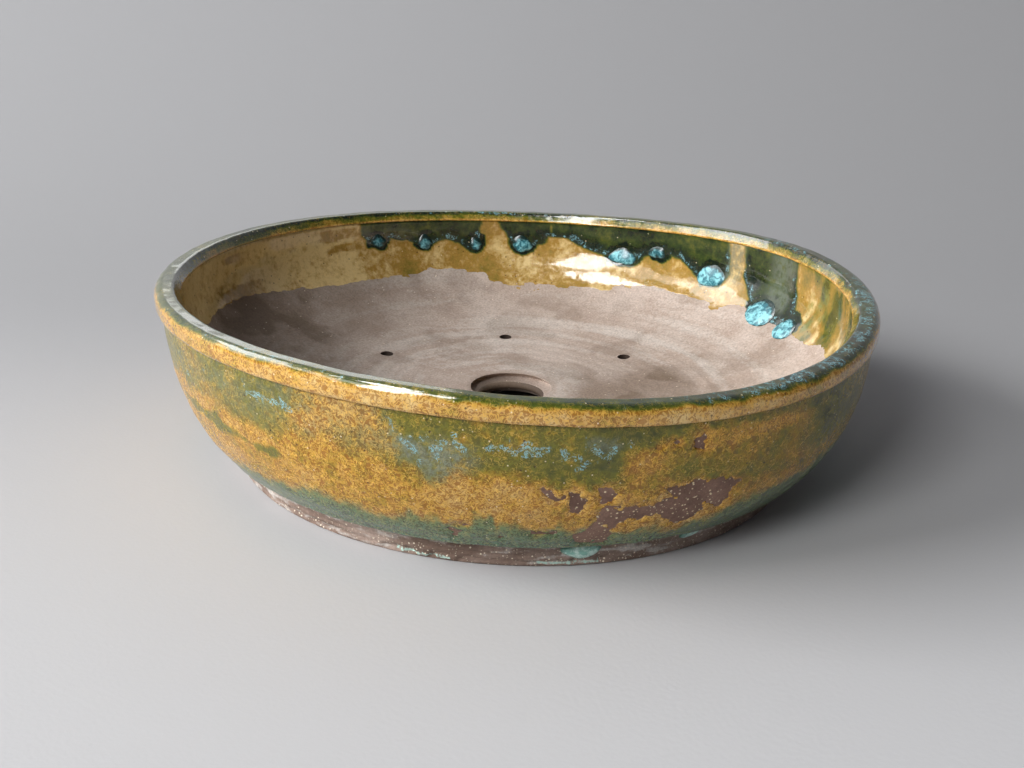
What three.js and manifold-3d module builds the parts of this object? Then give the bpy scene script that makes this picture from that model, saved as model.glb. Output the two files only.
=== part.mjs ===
// A shallow hand-thrown pot: bare clay foot and floor, full wall, collared rim, and its glaze
// coats, beads and runs. Millimetres, +Z up, origin on the ground under the middle of the pot,
// +X along the longer way across.
import * as THREE from "three";
import { mergeVertices } from "three/addons/utils/BufferGeometryUtils.js";
import Module from "manifold-3d";

const wasm = await Module();
wasm.setup();

// Rim: a flat-topped collar that stands out from the wall
const RIM_RADIUS = 130;
const RIM_HEIGHT = 64.2;
const RIM_WIDTH = 7.4;
const COLLAR_DEPTH = 6.9;
const COLLAR_OVERHANG = 2;
const LIP_ROUND = 1.6;
const LIP_BEVEL = 1.8;
const LIP_BEVEL_DROP = 2.8;
const LIP_UNDERCUT = 1;

// Wall: from the foot's edge the heel flares out, then the wall stands up to the collar
const HEEL_HEIGHT = 34;
const WALL_FLARE = 10.5;
const WALL_FLARE_RISE = 7;
const WALL_UPRIGHT = 23;
const WALL_STEPS = 7;

// Inside: a flat round the drain that curves up into the wall
const FLOOR_TOP = 20.7;
const FLOOR_THICKNESS = 7;
const FLOOR_FLAT_RADIUS = 30;
const FLOOR_RADIUS = 92;
const BOWL_FULLNESS = 2.6;
const BOWL_STEPS = 6;

// Foot ring
const FOOT_RADIUS = 104;
const FOOT_HEIGHT = 9;
const FOOT_WIDTH = 14;
const FOOT_TAPER = 2;
const FOOT_EDGE = 1.2;
const FOOT_STEP = 3;
const RECESS_SLOPE = 5;

// Drain hole and the pairs of wire holes around it
const DRAIN_RADIUS = 11.5;
const DRAIN_BEVEL = 4.4;
const DRAIN_BEVEL_DEPTH = 3;
const DRAIN_UNDERBEVEL = 2.4;
const WIRE_HOLE_RADIUS = 2.6;
const WIRE_HOLE_CIRCLE = 60;
const WIRE_HOLE_ANGLES = [70, 123, 179];

// Hand-made form: the oval, the wall's sway to one side, the rim's waves and its three soft lobes
const OVAL_RATIO = 0.955;
const OVAL_FULL_RADIUS = 60;
const WALL_SWAY = 1;
const WALL_SWAY_ANGLE = 31;
const RIM_WAVE_TWO = 2.05;
const RIM_WAVE_TWO_ANGLE = 54;
const RIM_WAVE_THREE = 1.2;
const RIM_WAVE_THREE_ANGLE = 43.5;
const RIM_LOBE = 0.4;
const RIM_LOBE_ANGLE = 60;

// Glaze coats, and the seam between one piece and the next
const GLAZE = 0.8;
const SEAM = 0.3;
const INNER_GLAZE_LOW = 37.5;
const INNER_GLAZE_SLANT = 4.5;
const INNER_GLAZE_SLANT_ANGLE = 110;
const INNER_GLAZE_RIPPLE = 1.2;
const INNER_GLAZE_RIPPLES = 9;
const INNER_GLAZE_STEPS = 8;

// Beads that hang in the inner glaze: angle round the pot, height, width, length, thickness
const BEADS = [
  { angle: 151.5, height: 51.5, width: 8.5, length: 6.5, thickness: 1.6 },
  { angle: 140.5, height: 50.5, width: 8, length: 7, thickness: 1.6 },
  { angle: 129, height: 49, width: 6.5, length: 7, thickness: 1.5 },
  { angle: 118.5, height: 49.5, width: 10, length: 8, thickness: 1.7 },
  { angle: 95.5, height: 47.3, width: 14, length: 8, thickness: 1.9 },
  { angle: 87.5, height: 50.5, width: 9, length: 6, thickness: 1.4 },
  { angle: 73.5, height: 45.5, width: 14, length: 9, thickness: 2 },
  { angle: 56.5, height: 38.6, width: 17, length: 8.5, thickness: 2.4 },
  { angle: 47, height: 37.4, width: 12, length: 7.5, thickness: 2 },
];

// Runs that hang over the foot
const RUNS = [
  { angle: -47.5, height: 5, width: 12, length: 7, thickness: 1.6 },
  { angle: -27, height: 6.4, width: 9, length: 3, thickness: 0.7 },
];

// Bare patch that the outer glaze leaves open
const BARE_PATCH = { angle: -37, height: 20, width: 30, length: 16, thickness: 3 * GLAZE };

const SEGMENTS = 48;

const CLAY = new THREE.MeshStandardMaterial({ color: "#9c8676", roughness: 0.85, metalness: 0 });
const FOOT_CLAY = new THREE.MeshStandardMaterial({ color: "#77604f", roughness: 0.8, metalness: 0 });
const OUTER_COAT = new THREE.MeshStandardMaterial({ color: "#7d6a34", roughness: 0.3, metalness: 0 });
const RIM_COAT = new THREE.MeshStandardMaterial({ color: "#3d5a48", roughness: 0.15, metalness: 0 });
const INNER_COAT = new THREE.MeshStandardMaterial({ color: "#6b5d32", roughness: 0.2, metalness: 0 });
const POOLED_GLAZE = new THREE.MeshStandardMaterial({ color: "#4f9a92", roughness: 0.12, metalness: 0 });

const point = (radius, height) => new THREE.Vector2(radius, height);
const radians = THREE.MathUtils.degToRad;

// Levels that the pieces share
const underside = FOOT_HEIGHT + SEAM;
const floorUnder = FLOOR_TOP - FLOOR_THICKNESS;
const collarFoot = RIM_HEIGHT - COLLAR_DEPTH;
const wallHead = collarFoot - SEAM;
const lipInner = RIM_RADIUS - RIM_WIDTH;
const ridge = point(lipInner - LIP_BEVEL, RIM_HEIGHT - LIP_BEVEL_DROP - LIP_UNDERCUT);
const bowlRadius = ridge.x + LIP_UNDERCUT;
const innerGlazeHead = ridge.y - LIP_UNDERCUT - SEAM;
const facetSag = RIM_RADIUS * (1 - Math.cos(Math.PI / SEGMENTS));

// Gives a place on the turned form its hand-made oval, sway and waves
function handmade(angle, radius, height) {
  const rise = height / RIM_HEIGHT;
  const reach = radius / RIM_RADIUS;
  const lobe = RIM_LOBE * Math.cos(3 * (angle - radians(RIM_LOBE_ANGLE)));
  const waveTwo = RIM_WAVE_TWO * Math.cos(2 * (angle - radians(RIM_WAVE_TWO_ANGLE)));
  const waveThree = RIM_WAVE_THREE * Math.cos(3 * (angle - radians(RIM_WAVE_THREE_ANGLE)));
  const oval = 1 - (1 - OVAL_RATIO) * Math.min(1, radius / OVAL_FULL_RADIUS);
  const sway = WALL_SWAY * reach * Math.sin(Math.PI * Math.min(1, rise));
  const out = radius + lobe * reach * rise * rise;
  return new THREE.Vector3(
    out * Math.cos(angle) + sway * Math.cos(radians(WALL_SWAY_ANGLE)),
    out * oval * Math.sin(angle) + sway * Math.sin(radians(WALL_SWAY_ANGLE)),
    height + (waveTwo + waveThree) * reach * rise * rise,
  );
}

// Moves every vertex of a geometry by a function and joins the vertices that meet
function moved(geometry, place) {
  geometry.deleteAttribute("normal");
  geometry.deleteAttribute("uv");
  const positions = geometry.getAttribute("position");
  const vertex = new THREE.Vector3();
  for (let i = 0; i < positions.count; i += 1) {
    vertex.fromBufferAttribute(positions, i);
    positions.setXYZ(i, ...place(vertex).toArray());
  }
  return mergeVertices(geometry);
}

// Turns a closed loop, up the outside and down the inside, about the pot's axis
function turned(loop) {
  const lathe = new THREE.LatheGeometry([...loop, loop[0]], SEGMENTS).rotateX(Math.PI / 2);
  return moved(lathe, (v) => handmade(Math.atan2(v.y, v.x), Math.hypot(v.x, v.y), v.z));
}

// Shifts a line sideways, away from the clay for a positive distance
function shifted(line, distance) {
  return line.map((here, i) => {
    const before = line[Math.max(i - 1, 0)];
    const after = line[Math.min(i + 1, line.length - 1)];
    const along = after.clone().sub(before).normalize();
    return point(here.x + distance * along.y, here.y - distance * along.x);
  });
}

// A skin of glaze whose outer face is the given line
function skin(line) {
  return turned([...line, ...shifted(line, -GLAZE).reverse()]);
}

// Radius of the inside at a height
function insideRadius(height) {
  const share = Math.min(1, Math.max(0, (height - FLOOR_TOP) / (wallHead - FLOOR_TOP)));
  const out = (1 - (1 - share) ** BOWL_FULLNESS) ** (1 / BOWL_FULLNESS);
  return FLOOR_FLAT_RADIUS + (bowlRadius - FLOOR_FLAT_RADIUS) * out;
}

// The inside's line between two radii, from the outer one inwards
function bowlLine(fromRadius, toRadius) {
  const turn = (radius) => {
    const share = (radius - FLOOR_FLAT_RADIUS) / (bowlRadius - FLOOR_FLAT_RADIUS);
    return Math.asin(Math.min(1, share) ** (BOWL_FULLNESS / 2));
  };
  return Array.from({ length: BOWL_STEPS + 1 }, (_, i) => {
    const t = THREE.MathUtils.lerp(turn(fromRadius), turn(toRadius), i / BOWL_STEPS);
    const out = Math.sin(t) ** (2 / BOWL_FULLNESS);
    const up = 1 - Math.cos(t) ** (2 / BOWL_FULLNESS);
    return point(
      FLOOR_FLAT_RADIUS + (bowlRadius - FLOOR_FLAT_RADIUS) * out,
      FLOOR_TOP + (wallHead - FLOOR_TOP) * up,
    );
  });
}

// Radius of the foot's face at a height
function footRadius(height) {
  return FOOT_RADIUS + (FOOT_TAPER * height) / FOOT_HEIGHT;
}

// Place at a height on a line that climbs
function onLine(line, height) {
  const above = Math.max(1, line.findIndex((p) => p.y >= height));
  const [low, high] = [line[above - 1], line[above]];
  return point(THREE.MathUtils.mapLinear(height, low.y, high.y, low.x, high.x), height);
}

// The stretch of a climbing line between two heights
function stretch(line, low, high) {
  return [onLine(line, low), ...line.filter((p) => p.y > low && p.y < high), onLine(line, high)];
}

// Radius of the outer glaze at a height
function wallRadius(height) {
  return onLine(wallLine, height).x;
}

// A place at a distance off a face; side is 1 where the face looks outwards and -1 where it looks in
function offFace(radiusAt, side, angle, height, distance) {
  const slope = (radiusAt(height + SEAM) - radiusAt(height - SEAM)) / (2 * SEAM);
  const length = Math.hypot(1, slope);
  return handmade(
    angle,
    radiusAt(height) + (side * distance) / length,
    height - (side * slope * distance) / length,
  );
}

// A drop that lies on a face: flat at the back, domed at the front
function drop(radiusAt, side, { angle, height, width, length, thickness }, clear) {
  const across = width / 2 / radiusAt(height);
  return moved(new THREE.SphereGeometry(1, 12, 8), (v) =>
    offFace(
      radiusAt,
      side,
      radians(angle) + side * v.x * across,
      height + (v.y * length) / 2,
      clear + thickness * Math.max(0, v.z),
    ),
  );
}

function toSolid(geometry) {
  return new wasm.Manifold(
    new wasm.Mesh({
      numProp: 3,
      vertProperties: new Float32Array(geometry.getAttribute("position").array),
      triVerts: new Uint32Array(geometry.index.array),
    }),
  );
}

function cut(geometry, tools) {
  const body = tools.reduce((rest, tool) => rest.subtract(toSolid(tool)), toSolid(geometry));
  const { vertProperties, triVerts } = body.getMesh();
  const result = new THREE.BufferGeometry();
  result.setAttribute("position", new THREE.BufferAttribute(vertProperties, 3));
  result.setIndex(new THREE.BufferAttribute(triVerts, 1));
  return result;
}

const pot = new THREE.Group();

function add(name, geometry, material) {
  const mesh = new THREE.Mesh(geometry, material);
  mesh.name = name;
  geometry.computeVertexNormals();
  pot.add(mesh);
}

// Foot ring
const footInner = FOOT_RADIUS - FOOT_WIDTH;
add(
  "foot_ring",
  turned([
    point(footInner + FOOT_EDGE, 0),
    point(footRadius(FOOT_EDGE) - FOOT_EDGE, 0),
    point(footRadius(FOOT_EDGE), FOOT_EDGE),
    point(footRadius(FOOT_HEIGHT), FOOT_HEIGHT),
    point(footInner, FOOT_HEIGHT),
    point(footInner, FOOT_EDGE),
  ]),
  FOOT_CLAY,
);

// Floor with the bevelled drain and the drilled wire holes
const floorBlank = turned([
  point(FLOOR_RADIUS, underside),
  ...bowlLine(FLOOR_RADIUS, FLOOR_FLAT_RADIUS),
  point(DRAIN_RADIUS + DRAIN_BEVEL, FLOOR_TOP),
  point(DRAIN_RADIUS, FLOOR_TOP - DRAIN_BEVEL_DEPTH),
  point(DRAIN_RADIUS, floorUnder + DRAIN_UNDERBEVEL),
  point(DRAIN_RADIUS + DRAIN_UNDERBEVEL, floorUnder),
  point(footInner - RECESS_SLOPE, floorUnder),
  point(footInner, underside),
]);
const wireHoles = WIRE_HOLE_ANGLES.flatMap((angle) => [angle, angle + 180]).map((angle) => {
  const drill = new THREE.CylinderGeometry(WIRE_HOLE_RADIUS, WIRE_HOLE_RADIUS, 2 * FLOOR_TOP, 16);
  const centre = handmade(radians(angle), WIRE_HOLE_CIRCLE, FLOOR_TOP);
  drill.rotateX(Math.PI / 2);
  return moved(drill, (v) => v.add(centre));
});
add("floor_disc", cut(floorBlank, wireHoles), CLAY);

// Heel and wall, a glaze coat and a seam inside the finished outline
const wallBase = point(footRadius(FOOT_HEIGHT) + FOOT_STEP, underside);
const wallTop = point(RIM_RADIUS - COLLAR_OVERHANG, wallHead);
const wallLine = new THREE.CubicBezierCurve(
  wallBase,
  wallBase.clone().add(point(WALL_FLARE, WALL_FLARE_RISE)),
  wallTop.clone().sub(point(0, WALL_UPRIGHT)),
  wallTop,
).getPoints(WALL_STEPS);
const wallClay = shifted(wallLine, -(GLAZE + SEAM));
const floorSeam = FLOOR_RADIUS + SEAM;
const wallFoot = HEEL_HEIGHT + SEAM;
add(
  "wall_heel",
  turned([
    point(floorSeam, underside),
    point(wallClay[0].x, underside),
    ...stretch(wallClay, wallClay[0].y, HEEL_HEIGHT),
    ...bowlLine(insideRadius(HEEL_HEIGHT), floorSeam),
  ]),
  CLAY,
);
add(
  "wall_shell",
  turned([...stretch(wallClay, wallFoot, wallHead), ...bowlLine(bowlRadius, insideRadius(wallFoot))]),
  CLAY,
);

// Rim collar: outer corner, flat top, inner corner, then a bevel down to the ridge
const corner = (x, y, from, to) =>
  new THREE.EllipseCurve(x, y, LIP_ROUND, LIP_ROUND, radians(from), radians(to)).getPoints(3);
const lipLine = [
  point(RIM_RADIUS, collarFoot),
  ...corner(RIM_RADIUS - LIP_ROUND, RIM_HEIGHT - LIP_ROUND, 0, 90),
  ...corner(lipInner + LIP_ROUND, RIM_HEIGHT - LIP_ROUND, 90, 150),
  ridge,
];
add(
  "rim_ring",
  turned([
    ...shifted(lipLine, -(GLAZE + SEAM)),
    point(bowlRadius, ridge.y - LIP_UNDERCUT),
    point(bowlRadius, collarFoot),
  ]),
  CLAY,
);

// Glaze coats on the rim and the wall, the wall's with its bare patch left open
add("rim_glaze", skin(lipLine), RIM_COAT);
const patchTool = drop(wallRadius, 1, BARE_PATCH, -BARE_PATCH.thickness / 2);
add("outer_glaze", cut(skin(wallLine), [patchTool]), OUTER_COAT);

// Glaze coat inside, from under the lip to a wandering lower edge
function innerGlazeLow(angle) {
  const slant = INNER_GLAZE_SLANT * Math.cos(angle - radians(INNER_GLAZE_SLANT_ANGLE));
  return INNER_GLAZE_LOW - slant + INNER_GLAZE_RIPPLE * Math.sin(INNER_GLAZE_RIPPLES * angle);
}
const shares = Array.from({ length: INNER_GLAZE_STEPS + 1 }, (_, i) => i / INNER_GLAZE_STEPS);
const [back, front] = [1, 2];
const coatLoop = [
  ...shares.map((share) => point(back, share)),
  ...shares.toReversed().map((share) => point(front, share)),
];
const coatBand = new THREE.LatheGeometry([...coatLoop, coatLoop[0]], SEGMENTS).rotateX(Math.PI / 2);
const innerCoat = moved(coatBand, (v) => {
  const angle = Math.atan2(v.y, v.x);
  const layer = Math.round(Math.hypot(v.x, v.y)) - back;
  const height = THREE.MathUtils.lerp(innerGlazeLow(angle), innerGlazeHead, v.z);
  return offFace(insideRadius, -1, angle, height, SEAM + layer * GLAZE);
});
add("inner_glaze", innerCoat, INNER_COAT);

// Pooled beads inside, clear of the coat's facets, and runs over the foot
const beadSeat = SEAM + GLAZE + facetSag + SEAM;
BEADS.forEach((bead, i) => {
  add(`glaze_bead_${i + 1}`, drop(insideRadius, -1, bead, beadSeat), POOLED_GLAZE);
});
RUNS.forEach((run, i) => {
  add(`foot_run_${i + 1}`, drop(footRadius, 1, run, SEAM), POOLED_GLAZE);
});

export default pot;
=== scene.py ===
"""Dresses a shallow thrown pot: fired clay, poured crystal glaze, pooled beads and foot runs."""

import logging
import math
from collections.abc import Callable, Sequence
from dataclasses import dataclass, field
from enum import Enum
from functools import cache
from itertools import product

import bpy
import numpy as np
from mathutils import Matrix


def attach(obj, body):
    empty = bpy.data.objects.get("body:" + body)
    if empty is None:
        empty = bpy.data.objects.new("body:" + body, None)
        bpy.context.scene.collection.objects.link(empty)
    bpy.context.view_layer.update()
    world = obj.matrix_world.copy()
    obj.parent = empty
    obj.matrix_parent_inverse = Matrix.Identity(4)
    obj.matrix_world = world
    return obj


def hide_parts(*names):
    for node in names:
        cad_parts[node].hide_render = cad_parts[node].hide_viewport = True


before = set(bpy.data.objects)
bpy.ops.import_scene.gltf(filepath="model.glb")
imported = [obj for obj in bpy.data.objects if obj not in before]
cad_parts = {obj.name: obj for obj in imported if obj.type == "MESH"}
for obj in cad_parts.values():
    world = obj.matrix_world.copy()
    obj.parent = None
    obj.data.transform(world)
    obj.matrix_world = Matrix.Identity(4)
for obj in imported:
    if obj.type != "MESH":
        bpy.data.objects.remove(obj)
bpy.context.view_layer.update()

MM = 0.001
BODY = "root"
LOG = logging.getLogger("pot")
Array = np.ndarray


class Mark(str, Enum):
    """Names of the painted vertex fields that the finishes read."""

    GREEN = "green"
    TEAL = "teal"
    CRYSTAL = "crystal"
    SMOKE = "smoke_and_sheen"
    BLOOM = "bloom"
    RESIDUE = "residue"
    DAMP_AND_SHADE = "damp_and_shade"
    DEPTH = "depth"


@dataclass(frozen=True)
class PotSizes:
    """The pot's driving sizes in millimetres, as in the solids. Only the glaze is thinner here."""

    rim_radius: float = 130.0
    rim_height: float = 64.2
    rim_width: float = 7.4
    collar_depth: float = 6.9
    collar_overhang: float = 2.0
    lip_round: float = 1.6
    lip_bevel: float = 1.8
    lip_bevel_drop: float = 2.8
    lip_undercut: float = 1.0
    heel_height: float = 34.0
    wall_flare: float = 10.5
    wall_flare_rise: float = 7.0
    wall_upright: float = 23.0
    floor_top: float = 20.7
    floor_thickness: float = 7.0
    floor_flat_radius: float = 30.0
    floor_radius: float = 92.0
    bowl_fullness: float = 2.6
    foot_radius: float = 104.0
    foot_height: float = 9.0
    foot_width: float = 14.0
    foot_taper: float = 2.0
    foot_edge: float = 1.2
    foot_step: float = 3.0
    recess_slope: float = 5.0
    drain_radius: float = 11.5
    drain_bevel: float = 4.4
    drain_bevel_depth: float = 3.0
    drain_underbevel: float = 2.4
    wire_hole_radius: float = 2.6
    wire_hole_circle: float = 60.0
    wire_hole_angles: tuple[float, ...] = (70.0, 123.0, 179.0)
    seam: float = 0.3
    glaze: float = 0.6

    @property
    def underside(self) -> float:
        """Height of the floor's underside."""
        return self.foot_height + self.seam

    @property
    def collar_foot(self) -> float:
        """Height of the collar's lower edge."""
        return self.rim_height - self.collar_depth

    @property
    def wall_head(self) -> float:
        """Height of the wall's top, under the collar."""
        return self.collar_foot - self.seam

    @property
    def lip_inner(self) -> float:
        """Radius of the lip's inner edge."""
        return self.rim_radius - self.rim_width

    @property
    def ridge(self) -> tuple[float, float]:
        """Radius and height of the ridge under the lip."""
        height = self.rim_height - self.lip_bevel_drop - self.lip_undercut
        return self.lip_inner - self.lip_bevel, height

    @property
    def bowl_radius(self) -> float:
        """Radius of the inside under the ridge."""
        return self.ridge[0] + self.lip_undercut

    @property
    def wall_base(self) -> tuple[float, float]:
        """Radius and height of the wall's lower edge."""
        return self.foot_radius + self.foot_taper + self.foot_step, self.underside


@dataclass(frozen=True)
class HandmadeForm:
    """The pot's own unevenness: its oval, the wall's sway and the rim's waves."""

    sizes: PotSizes
    oval_ratio: float = 0.955
    oval_full_radius: float = 60.0
    sway: float = 1.0
    sway_angle: float = 31.0
    wave_two: float = 2.05
    wave_two_angle: float = 54.0
    wave_three: float = 1.2
    wave_three_angle: float = 43.5
    lobe: float = 0.4
    lobe_angle: float = 60.0

    def place(self, angle: Array, radius: Array, height: Array) -> Array:
        """Gives places on the turned form their hand-made shape.

        Args:
            angle: Angles round the pot, in radians.
            radius: Radii in millimetres.
            height: Heights in millimetres.

        Returns:
            One row of metres per place.
        """
        rise = height / self.sizes.rim_height
        reach = radius / self.sizes.rim_radius
        lobe = self.lobe * np.cos(3 * (angle - math.radians(self.lobe_angle)))
        wave = self.wave_two * np.cos(2 * (angle - math.radians(self.wave_two_angle)))
        wave = wave + self.wave_three * np.cos(3 * (angle - math.radians(self.wave_three_angle)))
        oval = 1 - (1 - self.oval_ratio) * np.minimum(1, radius / self.oval_full_radius)
        sway = self.sway * reach * np.sin(math.pi * np.minimum(1, rise))
        out = radius + lobe * reach * rise**2
        x = out * np.cos(angle) + sway * math.cos(math.radians(self.sway_angle))
        y = out * oval * np.sin(angle) + sway * math.sin(math.radians(self.sway_angle))
        return np.column_stack((x, y, height + wave * reach * rise**2)) * MM


def evenly(points: Sequence[Sequence[float]], spacing: float) -> Array:
    """Spaces points evenly along a line.

    Args:
        points: Radius and height of the line's corners, in millimetres.
        spacing: Distance from point to point.

    Returns:
        One row of radius and height per point, ends kept.
    """
    line = np.asarray(points, float)
    run = np.concatenate(([0], np.cumsum(np.hypot(*np.diff(line, axis=0).T))))
    stops = np.linspace(0, run[-1], max(2, round(run[-1] / spacing) + 1))
    return np.column_stack([np.interp(stops, run, line[:, i]) for i in (0, 1)])


def arc(centre: tuple[float, float], radius: float, start: float, end: float) -> list[tuple[float, float]]:
    """Points on an arc in the profile's plane.

    Args:
        centre: Radius and height of the arc's middle.
        radius: The arc's own radius.
        start: First angle in degrees.
        end: Last angle in degrees.

    Returns:
        Radius and height of each point.
    """
    turns = np.radians(np.linspace(start, end, 13))
    return [(centre[0] + radius * math.cos(t), centre[1] + radius * math.sin(t)) for t in turns]


def shifted(line: Array, distance: float) -> Array:
    """Shifts an open line sideways.

    Args:
        line: Radius and height of the line's points, in millimetres.
        distance: Shift in millimetres, away from the clay where it is above 0.

    Returns:
        The shifted points.
    """
    along = np.gradient(line, axis=0)
    along /= np.hypot(*along.T)[:, None]
    return line + distance * np.column_stack((along[:, 1], -along[:, 0]))


def smooth(low: float, high: float, value: Array) -> Array:
    """Eases a value from 0 at low to 1 at high."""
    share = np.clip((value - low) / (high - low), 0, 1)
    return share * share * (3 - 2 * share)


@dataclass(frozen=True)
class Profile:
    """The lines that the pot's pieces share, from the outside over the lip to the drain."""

    sizes: PotSizes

    def wall(self, spacing: float) -> Array:
        """Finished outside of the wall, from the foot up to the collar.

        Args:
            spacing: Distance from point to point, in millimetres.

        Returns:
            One row of radius and height per point.
        """
        s = self.sizes
        base = np.array(s.wall_base)
        top = np.array((s.rim_radius - s.collar_overhang, s.wall_head))
        flare = base + (s.wall_flare, s.wall_flare_rise)
        upright = top - (0, s.wall_upright)
        t = np.linspace(0, 1, 80)[:, None]
        low = (1 - t) ** 3 * base + 3 * t * (1 - t) ** 2 * flare
        curve = low + 3 * t**2 * (1 - t) * upright + t**3 * top
        return evenly(curve, spacing)

    def lip(self, spacing: float) -> Array:
        """Finished outside of the rim, from under the collar over the top to the ridge inside.

        Args:
            spacing: Distance from point to point, in millimetres.

        Returns:
            One row of radius and height per point.
        """
        s = self.sizes
        edge, roll = 1.8, 3.2
        top = s.rim_height - s.lip_round
        inner = (s.ridge[0] + 0.5, s.ridge[1] + 0.2)
        corners = [
            (s.rim_radius - s.collar_overhang - 0.6, s.collar_foot),
            *arc((s.rim_radius - edge, s.collar_foot + edge), edge, -90, 0),
            *arc((s.rim_radius - roll, s.rim_height - roll), roll, 0, 90),
            *arc((s.lip_inner + s.lip_round, top), s.lip_round, 90, 150),
            *arc(inner, 0.5, 140, 270),
        ]
        return evenly(corners, spacing)

    def bowl(self, spacing: float) -> Array:
        """Bare clay inside, from under the ridge down to the flat round the drain.

        Args:
            spacing: Distance from point to point, in millimetres.

        Returns:
            One row of radius and height per point.
        """
        s = self.sizes
        t = np.linspace(math.pi / 2, 0, 90)
        out = np.sin(t) ** (2 / s.bowl_fullness)
        up = 1 - np.clip(np.cos(t), 0, 1) ** (2 / s.bowl_fullness)
        radius = s.floor_flat_radius + (s.bowl_radius - s.floor_flat_radius) * out
        height = s.floor_top + (s.wall_head - s.floor_top) * up
        curve = np.column_stack((radius, height))
        return evenly([(s.bowl_radius, s.ridge[1] - 0.4), *curve], spacing)

    def bowl_radius_at(self, height: Array) -> Array:
        """Radius of the inside at given heights."""
        line = self.bowl(spacing=1.0)[::-1]
        return np.interp(height, line[:, 1], line[:, 0])


@dataclass(frozen=True)
class Turning:
    """How finely a piece is turned: its steps, and a stretch that gets more than its share of them."""

    steps: int
    fine_start: float = -180.0
    fine_sweep: float = 360.0
    fine_share: float = 1.0

    def angles(self, even: Array) -> Array:
        """Moves even angles closer together on the fine stretch.

        Args:
            even: Angles of an even turn, from -pi to pi.

        Returns:
            Angles round the pot, from -pi to pi.
        """
        ends = (self.fine_start, self.fine_start + self.fine_sweep, self.fine_start + 360.0)
        degrees = np.interp(even / (2 * math.pi) + 0.5, (0.0, self.fine_share, 1.0), ends)
        return np.radians((degrees + 180.0) % 360.0 - 180.0)


@dataclass
class Thrown:
    """A profile spun on the wheel, with each vertex's angle and place on the profile."""

    piece: bpy.types.Object
    loop: Array
    angle: Array
    step: Array

    @property
    def degrees(self) -> Array:
        """Angles round the pot in degrees, from -180 to 180."""
        return np.degrees(self.angle)

    @property
    def height(self) -> Array:
        """Heights of the vertices on the plain turned form."""
        return self.loop[self.step, 1]

    @property
    def radius(self) -> Array:
        """Radii of the vertices on the plain turned form."""
        return self.loop[self.step, 0]

    def spots(self) -> Array:
        """Places of the vertices on the plain turned form, in millimetres."""
        across = np.column_stack((np.cos(self.angle), np.sin(self.angle)))
        return np.column_stack((self.radius[:, None] * across, self.height))

    def paint(self, mark: Mark, amount: Array) -> None:
        """Stores a painted field, 0 to 1, on the vertices."""
        paint(self.piece, mark, amount)

    def settle(self, form: HandmadeForm, offset: Array | float = 0.0, sharp: float = 50.0) -> None:
        """Moves the vertices off the profile and into the hand-made form.

        Args:
            form: The pot's unevenness.
            offset: Distance off the profile for each vertex, in millimetres.
            sharp: Angle in degrees over which an edge stays sharp.
        """
        along = np.roll(self.loop, -1, axis=0) - np.roll(self.loop, 1, axis=0)
        along /= np.hypot(*along.T)[:, None]
        moved = self.loop[self.step] + np.asarray(offset).reshape(-1, 1) * np.column_stack(
            (along[self.step, 1], -along[self.step, 0])
        )
        placed = form.place(self.angle, moved[:, 0], moved[:, 1])
        self.piece.data.vertices.foreach_set("co", placed.ravel())
        self.piece.data.update()
        select_only(self.piece)
        bpy.ops.object.shade_smooth_by_angle(angle=math.radians(sharp))


def select_only(piece: bpy.types.Object) -> None:
    """Selects one object and makes it the active one.

    Args:
        piece: The object.
    """
    bpy.ops.object.select_all(action="DESELECT")
    piece.select_set(True)
    bpy.context.view_layer.objects.active = piece


def paint(piece: bpy.types.Object, mark: Mark, amount: Array) -> None:
    """Stores a painted field, 0 to 1, on a piece's vertices."""
    layer = piece.data.attributes.new(mark.value, "FLOAT", "POINT")
    layer.data.foreach_set("value", np.clip(amount, 0, 1).astype(np.float32))


def triples(items: bpy.types.bpy_prop_collection, name: str) -> Array:
    """Reads a vector of each vertex or face.

    Args:
        items: The mesh's vertices or faces.
        name: Name of the vector.

    Returns:
        One row of three numbers per item.
    """
    flat = np.empty(len(items) * 3)
    items.foreach_get(name, flat)
    return flat.reshape(-1, 3)


def throw(name: str, loop: Array, turning: Turning) -> Thrown:
    """Turns a closed profile on the wheel.

    Args:
        name: Name of the piece.
        loop: Radius and height of the profile's points, up the outside and down the inside.
        turning: How finely it is turned.

    Returns:
        The thrown piece.
    """
    bpy.ops.object.select_all(action="DESELECT")
    bpy.ops.mesh.primitive_circle_add(vertices=len(loop), radius=loop[0, 0] * MM)
    piece = bpy.context.object
    piece.name = piece.data.name = name
    outline = np.column_stack((-loop[:, 0], np.zeros(len(loop)), loop[:, 1])) * MM
    piece.data.vertices.foreach_set("co", outline.ravel())
    piece.data.update()
    bpy.ops.object.modifier_add(type="SCREW")
    wheel = piece.modifiers[-1]
    wheel.axis = "Z"
    wheel.angle = 2 * math.pi
    wheel.steps = wheel.render_steps = turning.steps
    bpy.ops.object.modifier_apply(modifier=wheel.name)
    bpy.ops.object.mode_set(mode="EDIT")
    bpy.ops.mesh.select_all(action="SELECT")
    bpy.ops.mesh.remove_doubles(threshold=0.01 * MM)
    bpy.ops.mesh.normals_make_consistent(inside=False)
    bpy.ops.object.mode_set(mode="OBJECT")
    place = triples(piece.data.vertices, "co") / MM
    across = np.hypot(place[:, 0], place[:, 1])
    gap = (across[:, None] - loop[None, :, 0]) ** 2 + (place[:, 2][:, None] - loop[None, :, 1]) ** 2
    return Thrown(piece, loop, turning.angles(np.arctan2(place[:, 1], place[:, 0])), gap.argmin(axis=1))


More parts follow.
